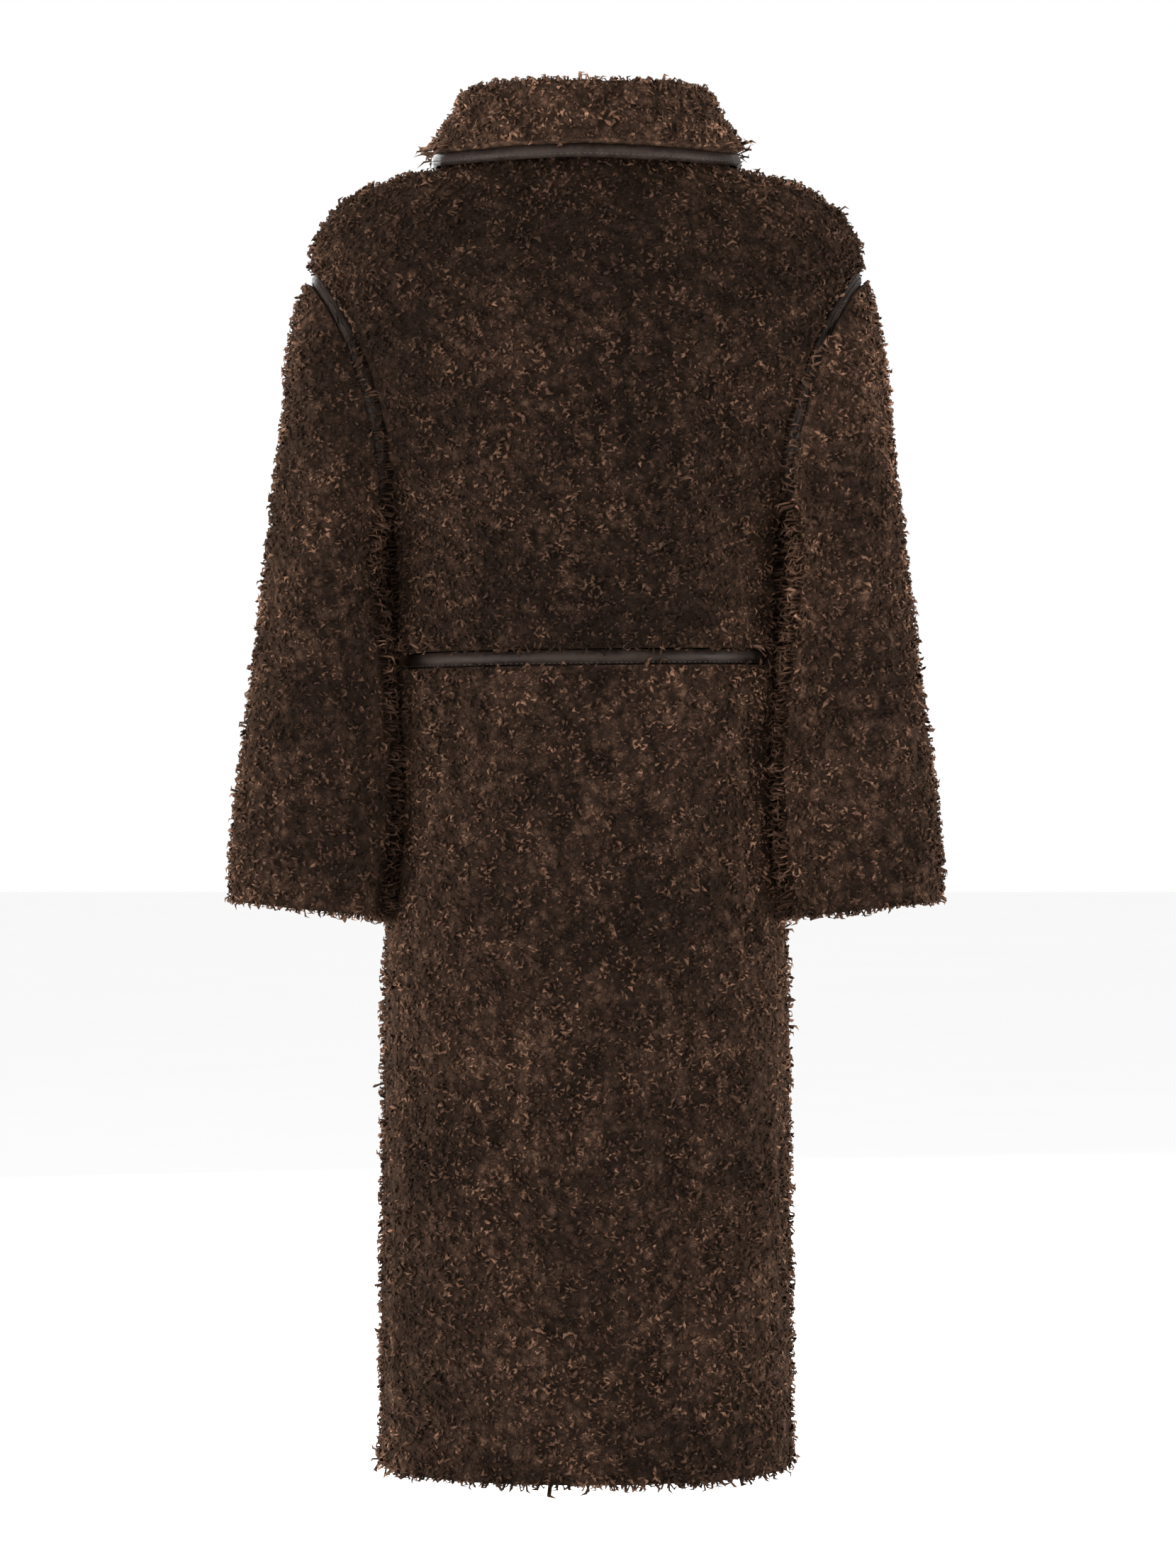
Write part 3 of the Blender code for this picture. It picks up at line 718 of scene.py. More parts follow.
@dataclass(frozen=True)
class Lay:
    """How a panel's hair grows and lies.

    Lengths are in metres and angles in degrees. Locks gather in curls: they turn round the middle
    of their curl and lean in to it, and each curl has its own height and tone.
    """

    spacing: float = 0.0037
    length: float = 0.0105
    width: float = 0.0028
    depth: float = 0.0036
    swell: float = 0.0030
    lean: Span = (46.0, -6.0)
    shares: Span = (0.6, 0.36)
    turn: float = 75.0
    curl: float = 0.0075
    gather: float = 0.35
    fall: float = 0.45
    stray: float = 0.5
    tufts: float = 0.07
    seed: int = 11


@dataclass
class Roots:
    """Where locks grow: their places on the pile side and the normals there."""

    places: np.ndarray
    normals: np.ndarray

    TRIES = 5

    @classmethod
    def spread(cls, wall: Wall, chosen: np.ndarray, spacing: float, rng: np.random.Generator) -> Roots:
        """Spreads roots evenly at random over some triangles of a wall.

        Args:
            wall: the wall.
            chosen: True for each triangle to cover.
            spacing: the least distance between two roots.
            rng: the random numbers.

        Returns:
            The roots.
        """
        areas = np.where(chosen, wall.areas(), 0.0)
        tries = int(areas.sum() / spacing**2 * cls.TRIES)
        picked = np.searchsorted(np.cumsum(areas), rng.random(tries) * areas.sum())
        a, b = rng.random(tries), rng.random(tries)
        over = a + b > 1
        a[over], b[over] = 1 - a[over], 1 - b[over]
        share = np.stack((1 - a - b, a, b), axis=1)[:, :, None]
        places = (wall.points[wall.triangles[picked]] * share).sum(axis=1)
        normals = unit((wall.normals[picked] * share).sum(axis=1))
        kept = cls.thinned(places, spacing)
        return cls(places[kept], normals[kept])

    @staticmethod
    def thinned(places: np.ndarray, spacing: float) -> np.ndarray:
        """Keeps the places that are no nearer than the spacing to one kept before.

        Args:
            places: the candidates.
            spacing: the least distance.

        Returns:
            Numbers of the kept ones.
        """
        cells = np.floor(places / spacing).astype(int)
        taken: dict[tuple[int, ...], list[tuple[float, ...]]] = {}
        near = [(i, j, k) for i in (-1, 0, 1) for j in (-1, 0, 1) for k in (-1, 0, 1)]
        limit = spacing * spacing
        kept = []
        for index, ((a, b, c), (x, y, z)) in enumerate(zip(cells.tolist(), places.tolist())):
            if all(
                (other[0] - x) ** 2 + (other[1] - y) ** 2 + (other[2] - z) ** 2 >= limit
                for i, j, k in near
                for other in taken.get((a + i, b + j, c + k), ())
            ):
                taken.setdefault((a, b, c), []).append((x, y, z))
                kept.append(index)
        return np.array(kept)


def turned(vectors: np.ndarray, axes: np.ndarray, angles: np.ndarray) -> np.ndarray:
    """Turns each vector round a unit axis that it is square to, by an angle in radians."""
    cos, sin = np.cos(angles)[:, None], np.sin(angles)[:, None]
    return vectors * cos + np.cross(axes, vectors) * sin


def swirl_noise(places: np.ndarray, size: float, offset: float) -> np.ndarray:
    """Gives each place smooth noise from -1 to 1, with swirls of this size; the offset moves them."""
    shift = Vector((offset, offset * 0.37, -offset * 0.61))
    return np.array([noise.noise(Vector(p) / size + shift) for p in places])


def swelling(places: np.ndarray) -> np.ndarray:
    """Says how the pile rises and dips, from about -1 to 1."""
    return swirl_noise(places, BUMP_SIZE, 0.0) + WAVE_SHARE * swirl_noise(places, WAVE_SIZE, WAVE_OFFSET)


@dataclass
class Curls:
    """Round curls that the locks of a panel gather in, one entry for each lock."""

    outward: np.ndarray
    spin: np.ndarray
    height: np.ndarray
    tone: np.ndarray

    PATCH_SIZE, PATCH_OFFSET = 0.030, 3
    TONE, TONE_SPREAD, TONE_PATCH, TONE_POWER = 0.42, 0.22, 0.38, 1.2
    HEIGHT_SPREAD, HEIGHT_PATCH, HEIGHTS = 0.12, 0.1, (0.7, 1.35)

    @classmethod
    def gather(
        cls, wall: Wall, chosen: np.ndarray, roots: Roots, lay: Lay, rng: np.random.Generator
    ) -> Curls:
        """Spreads the middles of the curls and gives each lock to the nearest.

        Args:
            wall: the wall.
            chosen: True for each triangle that has pile.
            roots: the locks' roots.
            lay: how the hair lies.
            rng: the random numbers.

        Returns:
            Each lock's way out from its curl's middle, turning sense, height and tone.
        """
        middles = Roots.spread(wall, chosen, lay.curl, rng).places
        tree = KDTree(len(middles))
        for index, place in enumerate(middles):
            tree.insert(place, index)
        tree.balance()
        nearest = np.array([tree.find(place)[1] for place in roots.places])
        away = along_cloth(roots.places - middles[nearest], roots.normals)
        patch = swirl_noise(middles, cls.PATCH_SIZE, lay.seed + cls.PATCH_OFFSET)
        tones = cls.TONE + cls.TONE_SPREAD * rng.standard_normal(len(middles)) + cls.TONE_PATCH * patch
        heights = 1 + cls.HEIGHT_SPREAD * rng.standard_normal(len(middles)) + cls.HEIGHT_PATCH * patch
        tones, heights = np.clip(tones, 0, 1) ** cls.TONE_POWER, np.clip(heights, *cls.HEIGHTS)
        spins = rng.choice((-1.0, 1.0), len(middles))
        return cls(away / (lay.curl / 2), spins[nearest], heights[nearest], tones[nearest])


@dataclass
class Nap:
    """How the pile differs from place to place, one entry for each lock.

    press is 0 for full pile, 1 for flat and -1 for hair on end, reach multiplies a lock's length,
    and pull is added to the way it heads. Pressed locks are also painted lighter and locks on end
    darker: painted light and painted shade.
    """

    roots: Roots
    press: np.ndarray
    reach: np.ndarray
    pull: np.ndarray

    PUSH = 2.5
    DRAW = 3.0
    SHORTEST, REGROWN = 0.55, 0.45

    @classmethod
    def even(cls, roots: Roots) -> Nap:
        """Returns the plain nap."""
        count = len(roots.places)
        return cls(roots, np.zeros(count), np.ones(count), np.zeros((count, 3)))

    @property
    def x(self) -> np.ndarray:
        """How far each root is to the wearer's left."""
        return self.roots.places[:, 0]

    @property
    def z(self) -> np.ndarray:
        """How high each root is."""
        return self.roots.places[:, 2]

    def beside(
        self, tree: BVHTree, near: float, chosen: np.ndarray
    ) -> Iterator[tuple[int, np.ndarray, float]]:
        """Finds the locks beside a piece.

        Args:
            tree: the piece's surface.
            near: how far from it a lock still counts.
            chosen: True for each lock to look at.

        Yields:
            Each lock's number, the way from it to the piece, and how far that is.
        """
        for index in np.nonzero(chosen)[0]:
            spot, _, _, away = tree.find_nearest(Vector(self.roots.places[index]), near)
            if spot is not None:
                yield index, np.array(spot) - self.roots.places[index], away

    def part_at(self, tree: BVHTree, near: float, press: float) -> None:
        """Presses the locks beside a piece, so that a seam shows as a soft groove."""
        for index, _, away in self.beside(tree, near, np.full(len(self.press), True)):
            self.press[index] = max(self.press[index], press * (1 - away / near))

    def keep_off(self, tree: BVHTree, near: float, chosen: np.ndarray) -> None:
        """Turns the chosen locks beside a piece away from it and makes them short, so that it shows.

        Args:
            tree: the piece's surface.
            near: how far from it this is felt.
            chosen: True for each lock that may turn.
        """
        for index, way, away in self.beside(tree, near, chosen):
            self.pull[index] -= self.PUSH * way / max(away, NUDGE)
            self.reach[index] = self.SHORTEST + self.REGROWN * away / near

    def lean_to(self, tree: BVHTree, near: float, chosen: np.ndarray, reach: float) -> None:
        """Lets the chosen locks beside a piece grow longer and lean over it.

        Args:
            tree: the piece's surface.
            near: how far from it this is felt.
            chosen: True for each lock that may lean.
            reach: how many times longer they are.
        """
        for index, way, away in self.beside(tree, near, chosen):
            self.pull[index] += self.DRAW * way / max(away, NUDGE)
            self.reach[index] = reach


def write_attribute(mesh: bpy.types.Mesh, name: str, values: np.ndarray) -> None:
    """Writes an attribute of a mesh, one number or one vector for each point."""
    kind, item = ("FLOAT", "value") if values.ndim == 1 else ("FLOAT_VECTOR", "vector")
    mesh.attributes.new(name, kind, "POINT").data.foreach_set(item, values.ravel().astype(np.float32))


@dataclass
class Locks:
    """Grows one mesh of curled, tapered locks, each a closed three-sided tube.

    The constants say how far locks differ from the lay: shares of a length or a width, angles in
    degrees and tones from 0 to 1.
    """

    lay: Lay
    roots: Roots
    curls: Curls
    nap: Nap
    rng: np.random.Generator

    WIDTHS = (0.8, 1.0, 0.66)
    BREADTHS = (0.75, 1.25)
    FLATNESS = 0.6
    CORNERS = (math.radians(90), math.radians(210), math.radians(330))
    TURNS = (0.3, 1.5)
    SIZE_SPREAD, SIZES = 0.14, (0.6, 1.4)
    LIFT_SPREAD, LIFT_PRESSED, LIFT_TUFT, RISES = 10.0, 30.0, 24.0, (-60.0, 85.0)
    SHORT_PRESSED = 0.25
    TONE_STRAY, TONE_STRAY_POWER, TONE_LESS, TONE_SWELL, TONE_PRESSED = 0.55, 3, 0.12, 0.3, 0.6
    MAP_LENGTH = 40

    def grow(self, name: str) -> bpy.types.Object:
        """Builds the mesh.

        Args:
            name: the piece's name.

        Returns:
            The piece, with its map "pile" and its attributes "lift", "tone" and "outward".
        """
        lay, curls, nap, count = self.lay, self.curls, self.nap, len(self.roots.places)
        normals = self.roots.normals
        around = np.cross(normals, curls.outward) * curls.spin[:, None]
        stray = self.rng.standard_normal((count, 3)) * lay.stray
        heading = around - curls.outward * lay.gather + DOWN[None, :] * lay.fall + stray + nap.pull
        heading = unit(along_cloth(heading, normals))
        turn = np.radians(lay.turn) * curls.spin * self.rng.uniform(*self.TURNS, count)
        size = np.clip(self.rng.normal(1.0, self.SIZE_SPREAD, count), *self.SIZES) * curls.height
        step = lay.length * size * (1 - self.SHORT_PRESSED * nap.press) * nap.reach
        swell = swelling(self.roots.places)
        lift = self.rng.normal(0, self.LIFT_SPREAD, count) - self.LIFT_PRESSED * nap.press
        lift[self.rng.random(count) < lay.tufts] += self.LIFT_TUFT
        spine = [self.roots.places + normals * (swell * lay.swell - lay.depth)[:, None]]
        ways = []
        for lean, share in zip(lay.lean, lay.shares):
            rise = np.radians(np.clip(lean + lift, *self.RISES))
            ways.append(heading * np.cos(rise)[:, None] + normals * np.sin(rise)[:, None])
            spine.append(spine[-1] + ways[-1] * (step * share)[:, None])
            heading = turned(heading, normals, turn)
        return self._mesh(name, spine, ways, size, swell)

    def _mesh(
        self, name: str, spine: list[np.ndarray], ways: list[np.ndarray], size: np.ndarray, swell: np.ndarray
    ) -> bpy.types.Object:
        """Puts rings of three points along each spine, and joins them.

        Args:
            name: the piece's name.
            spine: the places along each lock, root first.
            ways: the directions between them.
            size: the size of each lock.
            swell: how high the pile swells at each lock.

        Returns:
            The piece.
        """
        count, rings = len(size), len(ways)
        normals = self.roots.normals
        width = self.lay.width / 2 * size * self.rng.uniform(*self.BREADTHS, count)
        layers = []
        for number, way in enumerate(ways):
            if number > 0:
                way = unit(way + ways[number - 1])
            across = unit(np.cross(way, normals) + NUDGE)
            up = np.cross(across, way)
            for corner in self.CORNERS:
                out = across * math.cos(corner) + up * math.sin(corner) * self.FLATNESS
                layers.append(spine[number] + out * (width * self.WIDTHS[number])[:, None])
        layers.append(spine[-1])
        each = len(layers)
        faces = [(0, 2, 1)]
        for low in range(0, 3 * (rings - 1), 3):
            for here, after in ((0, 1), (1, 2), (2, 0)):
                a, b, c, d = low + here, low + after, low + 3 + after, low + 3 + here
                faces += [(a, b, c), (a, c, d)]
        last = 3 * (rings - 1)
        faces += [(last + here, last + after, each - 1) for here, after in ((0, 1), (1, 2), (2, 0))]
        pattern, points = np.array(faces), np.stack(layers, axis=1)
        triangles = (pattern[None, :, :] + (np.arange(count) * each)[:, None, None]).reshape(-1, 3)
        mesh = bpy.data.meshes.new(name)
        mesh.vertices.add(count * each)
        mesh.vertices.foreach_set("co", points.astype(np.float32).ravel())
        mesh.loops.add(triangles.size)
        mesh.loops.foreach_set("vertex_index", triangles.ravel().astype(np.int32))
        mesh.polygons.add(len(triangles))
        mesh.polygons.foreach_set("loop_start", np.arange(0, triangles.size, 3, dtype=np.int32))
        mesh.polygons.foreach_set("use_smooth", np.ones(len(triangles), dtype=bool))
        mesh.update(calc_edges=True)
        rise = ((points - spine[0][:, None, :]) * normals[:, None, :]).sum(axis=2)
        write_attribute(mesh, "lift", (rise / self.lay.depth).ravel())
        self._paint(mesh, each, pattern, swell)
        piece = bpy.data.objects.new(name, mesh)
        bpy.context.scene.collection.objects.link(piece)
        return piece

    def _paint(self, mesh: bpy.types.Mesh, each: int, pattern: np.ndarray, swell: np.ndarray) -> None:
        """Adds each lock's tone, the cloth's normal and the map that the finish reads.

        Args:
            mesh: the locks' mesh.
            each: points in a lock.
            pattern: the triangles of one lock.
            swell: how high the pile swells at each lock.
        """
        count = len(swell)
        stray = self.TONE_STRAY * self.rng.random(count) ** self.TONE_STRAY_POWER - self.TONE_LESS
        # Locks in the dips of the swelling are painted darker and those on its rises lighter: painted shade.
        stray = stray + self.TONE_SWELL * swell
        # Pressed locks are painted lighter and locks on end darker: painted light under the collar's edge,
        # painted shade between body and sleeve.
        tones = np.clip(self.curls.tone + stray + self.TONE_PRESSED * self.nap.press, 0, 1)
        write_attribute(mesh, "tone", np.repeat(tones, each))
        write_attribute(mesh, "outward", np.repeat(self.roots.normals, each, axis=0))
        point = np.arange(each)
        across, along = (point % 3) / 3, (point // 3) / (each // 3)
        across[-1] = 0.5
        u, v = across[pattern], along[pattern]
        wraps = u.max(axis=1) - u.min(axis=1) > 0.5
        u[wraps] = np.where(u[wraps] < 0.34, u[wraps] + 1.0, u[wraps])
        u = u[None, :, :] + (self.rng.random(count) * self.MAP_LENGTH)[:, None, None]
        both = np.stack((u, np.broadcast_to(v[None, :, :], u.shape)), axis=-1)
        mesh.uv_layers.new(name="pile").uv.foreach_set("vector", both.astype(np.float32).ravel())


# ---------------------------------------------------------------- fur panels


@dataclass
class FurPanel:
    """One fur panel: its knitted backing and the pile on it."""

    node: str
    title: str
    flat: tuple[float, float]
    area: float
    rests_on: tuple[str, ...]
    seams: tuple[str, ...] = ()
    held: str = "hung"
    lay: Lay = field(default_factory=Lay)
    finish: PileFinish = PileFinish("curly pile")
    under_hair: float = 0.0016
    cuts: int = 3
    seam_near: float = 0.007
    seam_press: float = 0.7
    ragged: float = 0.009
    ragged_reach: float = 1.3
    ragged_press: float = -0.1

    def build(self, nodes: Nodes, trees: Trees) -> list[bpy.types.Object]:
        """Builds and dresses the backing and the pile.

        Args:
            nodes: the solids.
            trees: their surfaces, for finding sewn edges.

        Returns:
            The two pieces.
        """
        rng = np.random.default_rng(self.lay.seed)
        cloth = merged_copy(nodes[self.node], self.title + "_backing")
        wall = Wall.of(cloth)
        others = [tree for name, tree in trees.items() if name != self.node]
        chosen = (wall.side == Wall.PILE) | wall.free_rims(others)
        roots = Roots.spread(wall, chosen, self.lay.spacing, rng)
        curls = Curls.gather(wall, chosen, roots, self.lay, rng)
        nap = Nap.even(roots)
        self.comb(nap, trees)
        pile = Locks(self.lay, roots, curls, nap, rng).grow(self.title + "_pile")
        self._thin(cloth, wall)
        self._dress(cloth, pile)
        area = wall.areas()[wall.side == Wall.PILE].sum()
        LOG.info("%s: %d locks on %.3f m2", self.title, len(roots.places), area)
        return [cloth, pile]

    def comb(self, nap: Nap, trees: Trees) -> None:
        """Presses the pile at the seams to other fur panels, and leaves the lower edge ragged.

        Args:
            nap: the nap to change.
            trees: the solids' surfaces.
        """
        for name in self.seams:
            nap.part_at(trees[name], self.seam_near, self.seam_press)
        edge = nap.z < nap.z.min() + self.ragged
        nap.reach[edge] = self.ragged_reach
        nap.press[edge] = self.ragged_press

    def _thin(self, cloth: bpy.types.Object, wall: Wall) -> None:
        """Moves the wall's pile side in to the top of the under hair, and makes it bumpy.

        Args:
            cloth: the merged solid.
            wall: its sorted faces.
        """
        bm = bmesh.new()
        bm.from_mesh(cloth.data)
        lift = bm.verts.layers.float.new("lift")
        bmesh.ops.triangulate(bm, faces=bm.faces)
        bm.faces.ensure_lookup_table()
        for face, side in zip(bm.faces, wall.side):
            face.material_index = min(int(side), 2)
        pile_side = [face for face in bm.faces if face.material_index == Wall.PILE]
        edges = list({edge for face in pile_side for edge in face.edges})
        bmesh.ops.subdivide_edges(bm, edges=edges, cuts=self.cuts, use_grid_fill=True)
        bmesh.ops.triangulate(bm, faces=bm.faces)
        bm.normal_update()
        outward: dict[bmesh.types.BMVert, Vector] = {}
        for face in bm.faces:
            if face.material_index == Wall.PILE:
                for vert in face.verts:
                    outward[vert] = outward.get(vert, Vector()) + face.normal * face.calc_area()
        swells = swelling(np.array([vert.co for vert in outward]))
        for (vert, way), swell in zip(outward.items(), swells):
            # The swelling is kept as lift, for the under hair's painted shade in its dips.
            vert[lift] = swell
            vert.co += way.normalized() * (swell * self.lay.swell - self.under_hair)
        for face in bm.faces:
            face.material_index = 1 if face.material_index == Wall.BACKING else 0
        bm.to_mesh(cloth.data)
        bm.free()
        make_active(cloth)
        bpy.ops.object.shade_smooth_by_angle(angle=SMOOTH_ANGLE)

    def _dress(self, cloth: bpy.types.Object, pile: bpy.types.Object) -> None:
        """Gives both pieces their finishes and body, and hides the solid.

        Args:
            cloth: the backing.
            pile: the locks.
        """
        cloth.data.materials.append(self.finish.under_hair())
        cloth.data.materials.append(BackingFinish().material())
        pile.data.materials.append(self.finish.material())
        for piece in (cloth, pile):
            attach(piece, BODY)
        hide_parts(self.node)
        list(self.rests_on)


# ---------------------------------------------------------------- leather strips


class Edge(Enum):
    """The edge of a strip that its stitches run along, and the way it lies from the strip's middle."""

    LOWER = (0.0, 0.0, -1.0)
    BODY = (-1.0, 0.0, 0.0)


@dataclass
class Stitches:
    """A row of short stitches along one edge of a strip."""

    pitch: float = 0.0046
    length: float = 0.0034
    thickness: float = 0.0008
    inset: float = 0.0026
    sunk: float = 0.6
    shoulders: Span = (-0.3, 0.3)
    sides: int = 5
    tries: int = 4
    least_match: float = 0.35

    def sew(self, name: str, wall: Wall, edge: Edge) -> bpy.types.Object:
        """Builds the row.

        Args:
            name: the row's name.
            wall: the strip.
            edge: the edge to follow.

        Returns:
            The row, one mesh.
        """
        places, ways, normals = self._path(wall, edge)
        across = unit(np.cross(ways, normals))
        low_end, high_end = (
            places + ways * self.length / 2 * sign - normals * self.thickness * self.sunk for sign in (-1, 1)
        )
        layers = [low_end]
        for share in self.shoulders:
            for side in range(self.sides):
                angle = math.tau * side / self.sides
                ring = across * math.cos(angle) + normals * math.sin(angle)
                layers.append(places + ways * self.length * share + ring * self.thickness / 2)
        layers.append(high_end)
        each, last = len(layers), len(layers) - 1
        faces = []
        for side in range(self.sides):
            low, high = 1 + side, 1 + (side + 1) % self.sides
            far_low, far_high = low + self.sides, high + self.sides
            faces += [(0, high, low), (low, high, far_high)]
            faces += [(low, far_high, far_low), (far_low, far_high, last)]
        triangles = np.array(faces)[None, :, :] + (np.arange(len(places)) * each)[:, None, None]
        points = np.stack(layers, axis=1)
        mesh = bpy.data.meshes.new(name)
        mesh.from_pydata(points.reshape(-1, 3).tolist(), [], triangles.reshape(-1, 3).tolist())
        row = bpy.data.objects.new(name, mesh)
        bpy.context.scene.collection.objects.link(row)
        edit_all(row, bpy.ops.mesh.normals_make_consistent)
        bpy.ops.object.shade_smooth()
        return row

    def _path(self, wall: Wall, edge: Edge) -> tuple[np.ndarray, np.ndarray, np.ndarray]:
        """Finds where stitches sit along the edge.

        Args:
            wall: the strip.
            edge: the edge to follow.

        Returns:
            Their places, ways along the edge, and normals.
        """
        outer = wall.triangles[wall.side == Wall.PILE]
        uses: dict[tuple[int, int], list[int]] = {}
        for number, (a, b, c) in enumerate(outer):
            for start, end in ((a, b), (b, c), (c, a)):
                uses.setdefault((min(start, end), max(start, end)), []).append(number)
        middle = wall.points[outer].mean(axis=1)
        tree = BVHTree.FromPolygons([Vector(p) for p in wall.points], [tuple(t) for t in outer.tolist()])
        toward = np.array(edge.value)
        if edge is Edge.BODY:
            toward = toward * np.sign(wall.points[:, 0].mean())
        spots, ways = [], []
        for (start, end), users in uses.items():
            a, b = wall.points[start], wall.points[end]
            length = np.linalg.norm(b - a)
            along = (b - a) / max(length, TINY)
            inward = middle[users[0]] - (a + b) / 2
            inward = unit(inward - along * (inward @ along))
            if len(users) > 1 or inward @ toward > -self.least_match:
                continue
            for step in range(int(length / self.pitch * self.tries) + 1):
                spots.append(a + along * step * self.pitch / self.tries + inward * self.inset)
                ways.append(along)
        kept = Roots.thinned(np.array(spots), self.pitch)
        found = [tree.find_nearest(Vector(spots[index])) for index in kept]
        places, normals = (np.array([hit[part] for hit in found]) for part in (0, 1))
        return places, unit(along_cloth(np.array(ways)[kept], normals)), normals


@dataclass
class LeatherStrip:
    """A padded leather strip sewn into a seam."""

    node: str
    title: str
    flat: tuple[float, float]
    rests_on: tuple[str, ...]
    edge: Edge = Edge.LOWER
    swell: float = 0.0
    pucker: float = 0.0006
    pucker_length: float = 0.016
    smoothing: int = 2
    finish: LeatherFinish = LeatherFinish()

    def build(self, nodes: Nodes) -> list[bpy.types.Object]:
        """Builds and dresses the strip.

        Args:
            nodes: the solids.

        Returns:
            Its pieces.
        """
        strip = merged_copy(nodes[self.node], self.title)
        wall = Wall.of(strip)
        edit_all(strip, bpy.ops.mesh.tris_convert_to_quads)
        smooth = strip.modifiers.new("smooth", "SUBSURF")
        smooth.levels = smooth.render_levels = self.smoothing
        bpy.ops.object.modifier_apply(modifier=smooth.name)
        for vertex in strip.data.vertices:
            spot = vertex.co / self.pucker_length
            vertex.co += vertex.normal * (self.swell + noise.noise(spot) * self.pucker)
        bpy.ops.object.shade_smooth()
        strip.data.materials.append(self.finish.material())
        row = Stitches().sew(self.title + "_stitches", wall, self.edge)
        row.data.materials.append(ThreadFinish().material())
        for piece in (strip, row):
            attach(piece, BODY)
        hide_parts(self.node)
        list(self.rests_on)
        return [strip, row]


# ---------------------------------------------------------------- studio


@dataclass(frozen=True)
class AreaLamp:
    """One soft lamp."""

    name: str
    place: tuple[float, float, float]
    target: tuple[float, float, float]
    size: tuple[float, float]
    power: float

    def hang(self) -> None:
        """Adds the lamp to the scene."""
        data = bpy.data.lights.new(self.name, "AREA")
        data.shape = "RECTANGLE"
        data.size, data.size_y = self.size
        data.energy = self.power
        lamp = bpy.data.objects.new(self.name, data)
        bpy.context.scene.collection.objects.link(lamp)
        lamp.location = self.place
        aim = Vector(self.target) - Vector(self.place)
        lamp.rotation_euler = aim.to_track_quat("-Z", "Y").to_euler()


@dataclass(frozen=True)
class SkyLamp:
    """Even light from above, so soft that it throws no clear shadow."""

    name: str = "overhead"
    strength: float = 0.54
    spread: float = 120.0

    def hang(self) -> None:
        """Adds the lamp to the scene."""
        data = bpy.data.lights.new(self.name, "SUN")
        data.energy = self.strength
        data.angle = math.radians(self.spread)
        bpy.context.scene.collection.objects.link(bpy.data.objects.new(self.name, data))


@dataclass
class Studio:
    """Pale floor, soft lamps, white surroundings and the camera."""

    floor_height: float = -1.42
    floor_size: float = 60.0
    camera_place: tuple[float, float, float] = (-0.0016, 4.1, -0.573)
    focal: float = 66.51
    sensor_height: float = 24.0
    surround: float = 0.85
    lamps: tuple[AreaLamp | SkyLamp, ...] = (
        AreaLamp("left", (3.5, 2.0, -0.95), (0, 0, -1.05), (1.6, 1.8), 225.0),
        AreaLamp("right", (-3.5, 1.6, -0.95), (0, 0, -1.05), (1.6, 1.8), 205.0),
        AreaLamp("back", (1.0, 5.2, -0.1), (0, 0, -1.1), (2.4, 2.2), 125.0),
        AreaLamp("front", (1.2, -4.4, 1.0), (0, 0, -0.6), (2.6, 2.6), 190.0),
        SkyLamp(),
    )

    def build(self) -> None:
        """Builds everything around the coat."""
        self._floor()
        self._surroundings()
        for lamp in self.lamps:
            lamp.hang()
        self._camera()
        bpy.context.scene.view_settings.view_transform = "Standard"
        bpy.context.scene.view_settings.look = "None"

    def _floor(self) -> None:
        """Adds the floor."""
        bpy.ops.object.select_all(action="DESELECT")
        bpy.ops.mesh.primitive_plane_add(size=self.floor_size, location=(0, 0, self.floor_height))
        floor = bpy.context.object
        floor.name = "floor"
        bpy.ops.object.transform_apply(location=True, rotation=True, scale=True)
        floor.data.materials.append(FloorFinish().material())

    def _surroundings(self) -> None:
        """Makes the world white to the eye and softer as a light."""
        world = bpy.data.worlds.new("surroundings")
        world.use_nodes = True
        bpy.context.scene.world = world
        sheet = ShaderTree(world.node_tree)
        seen = sheet.node("ShaderNodeLightPath").outputs["Is Camera Ray"]
        strength = sheet.remap(seen, to=(self.surround, 1.0))
        glow = sheet.node("ShaderNodeBackground", {"Color": (1.0, 1.0, 1.0, 1.0), "Strength": strength})
        sheet.node("ShaderNodeOutputWorld", {"Surface": glow.outputs[0]})

    def _camera(self) -> None:
        """Adds the camera behind the coat, level and square to it."""
        data = bpy.data.cameras.new("camera")
        data.sensor_fit = "VERTICAL"
        data.sensor_height = self.sensor_height
        data.sensor_width = self.sensor_height * PHOTO_SIZE[0] / PHOTO_SIZE[1]
        data.lens = self.focal
        camera = bpy.data.objects.new("camera", data)
        bpy.context.scene.collection.objects.link(camera)
        camera.location = self.camera_place
        camera.rotation_euler = (math.radians(90), 0, math.radians(180))
        bpy.context.scene.camera = camera


# ---------------------------------------------------------------- the coat


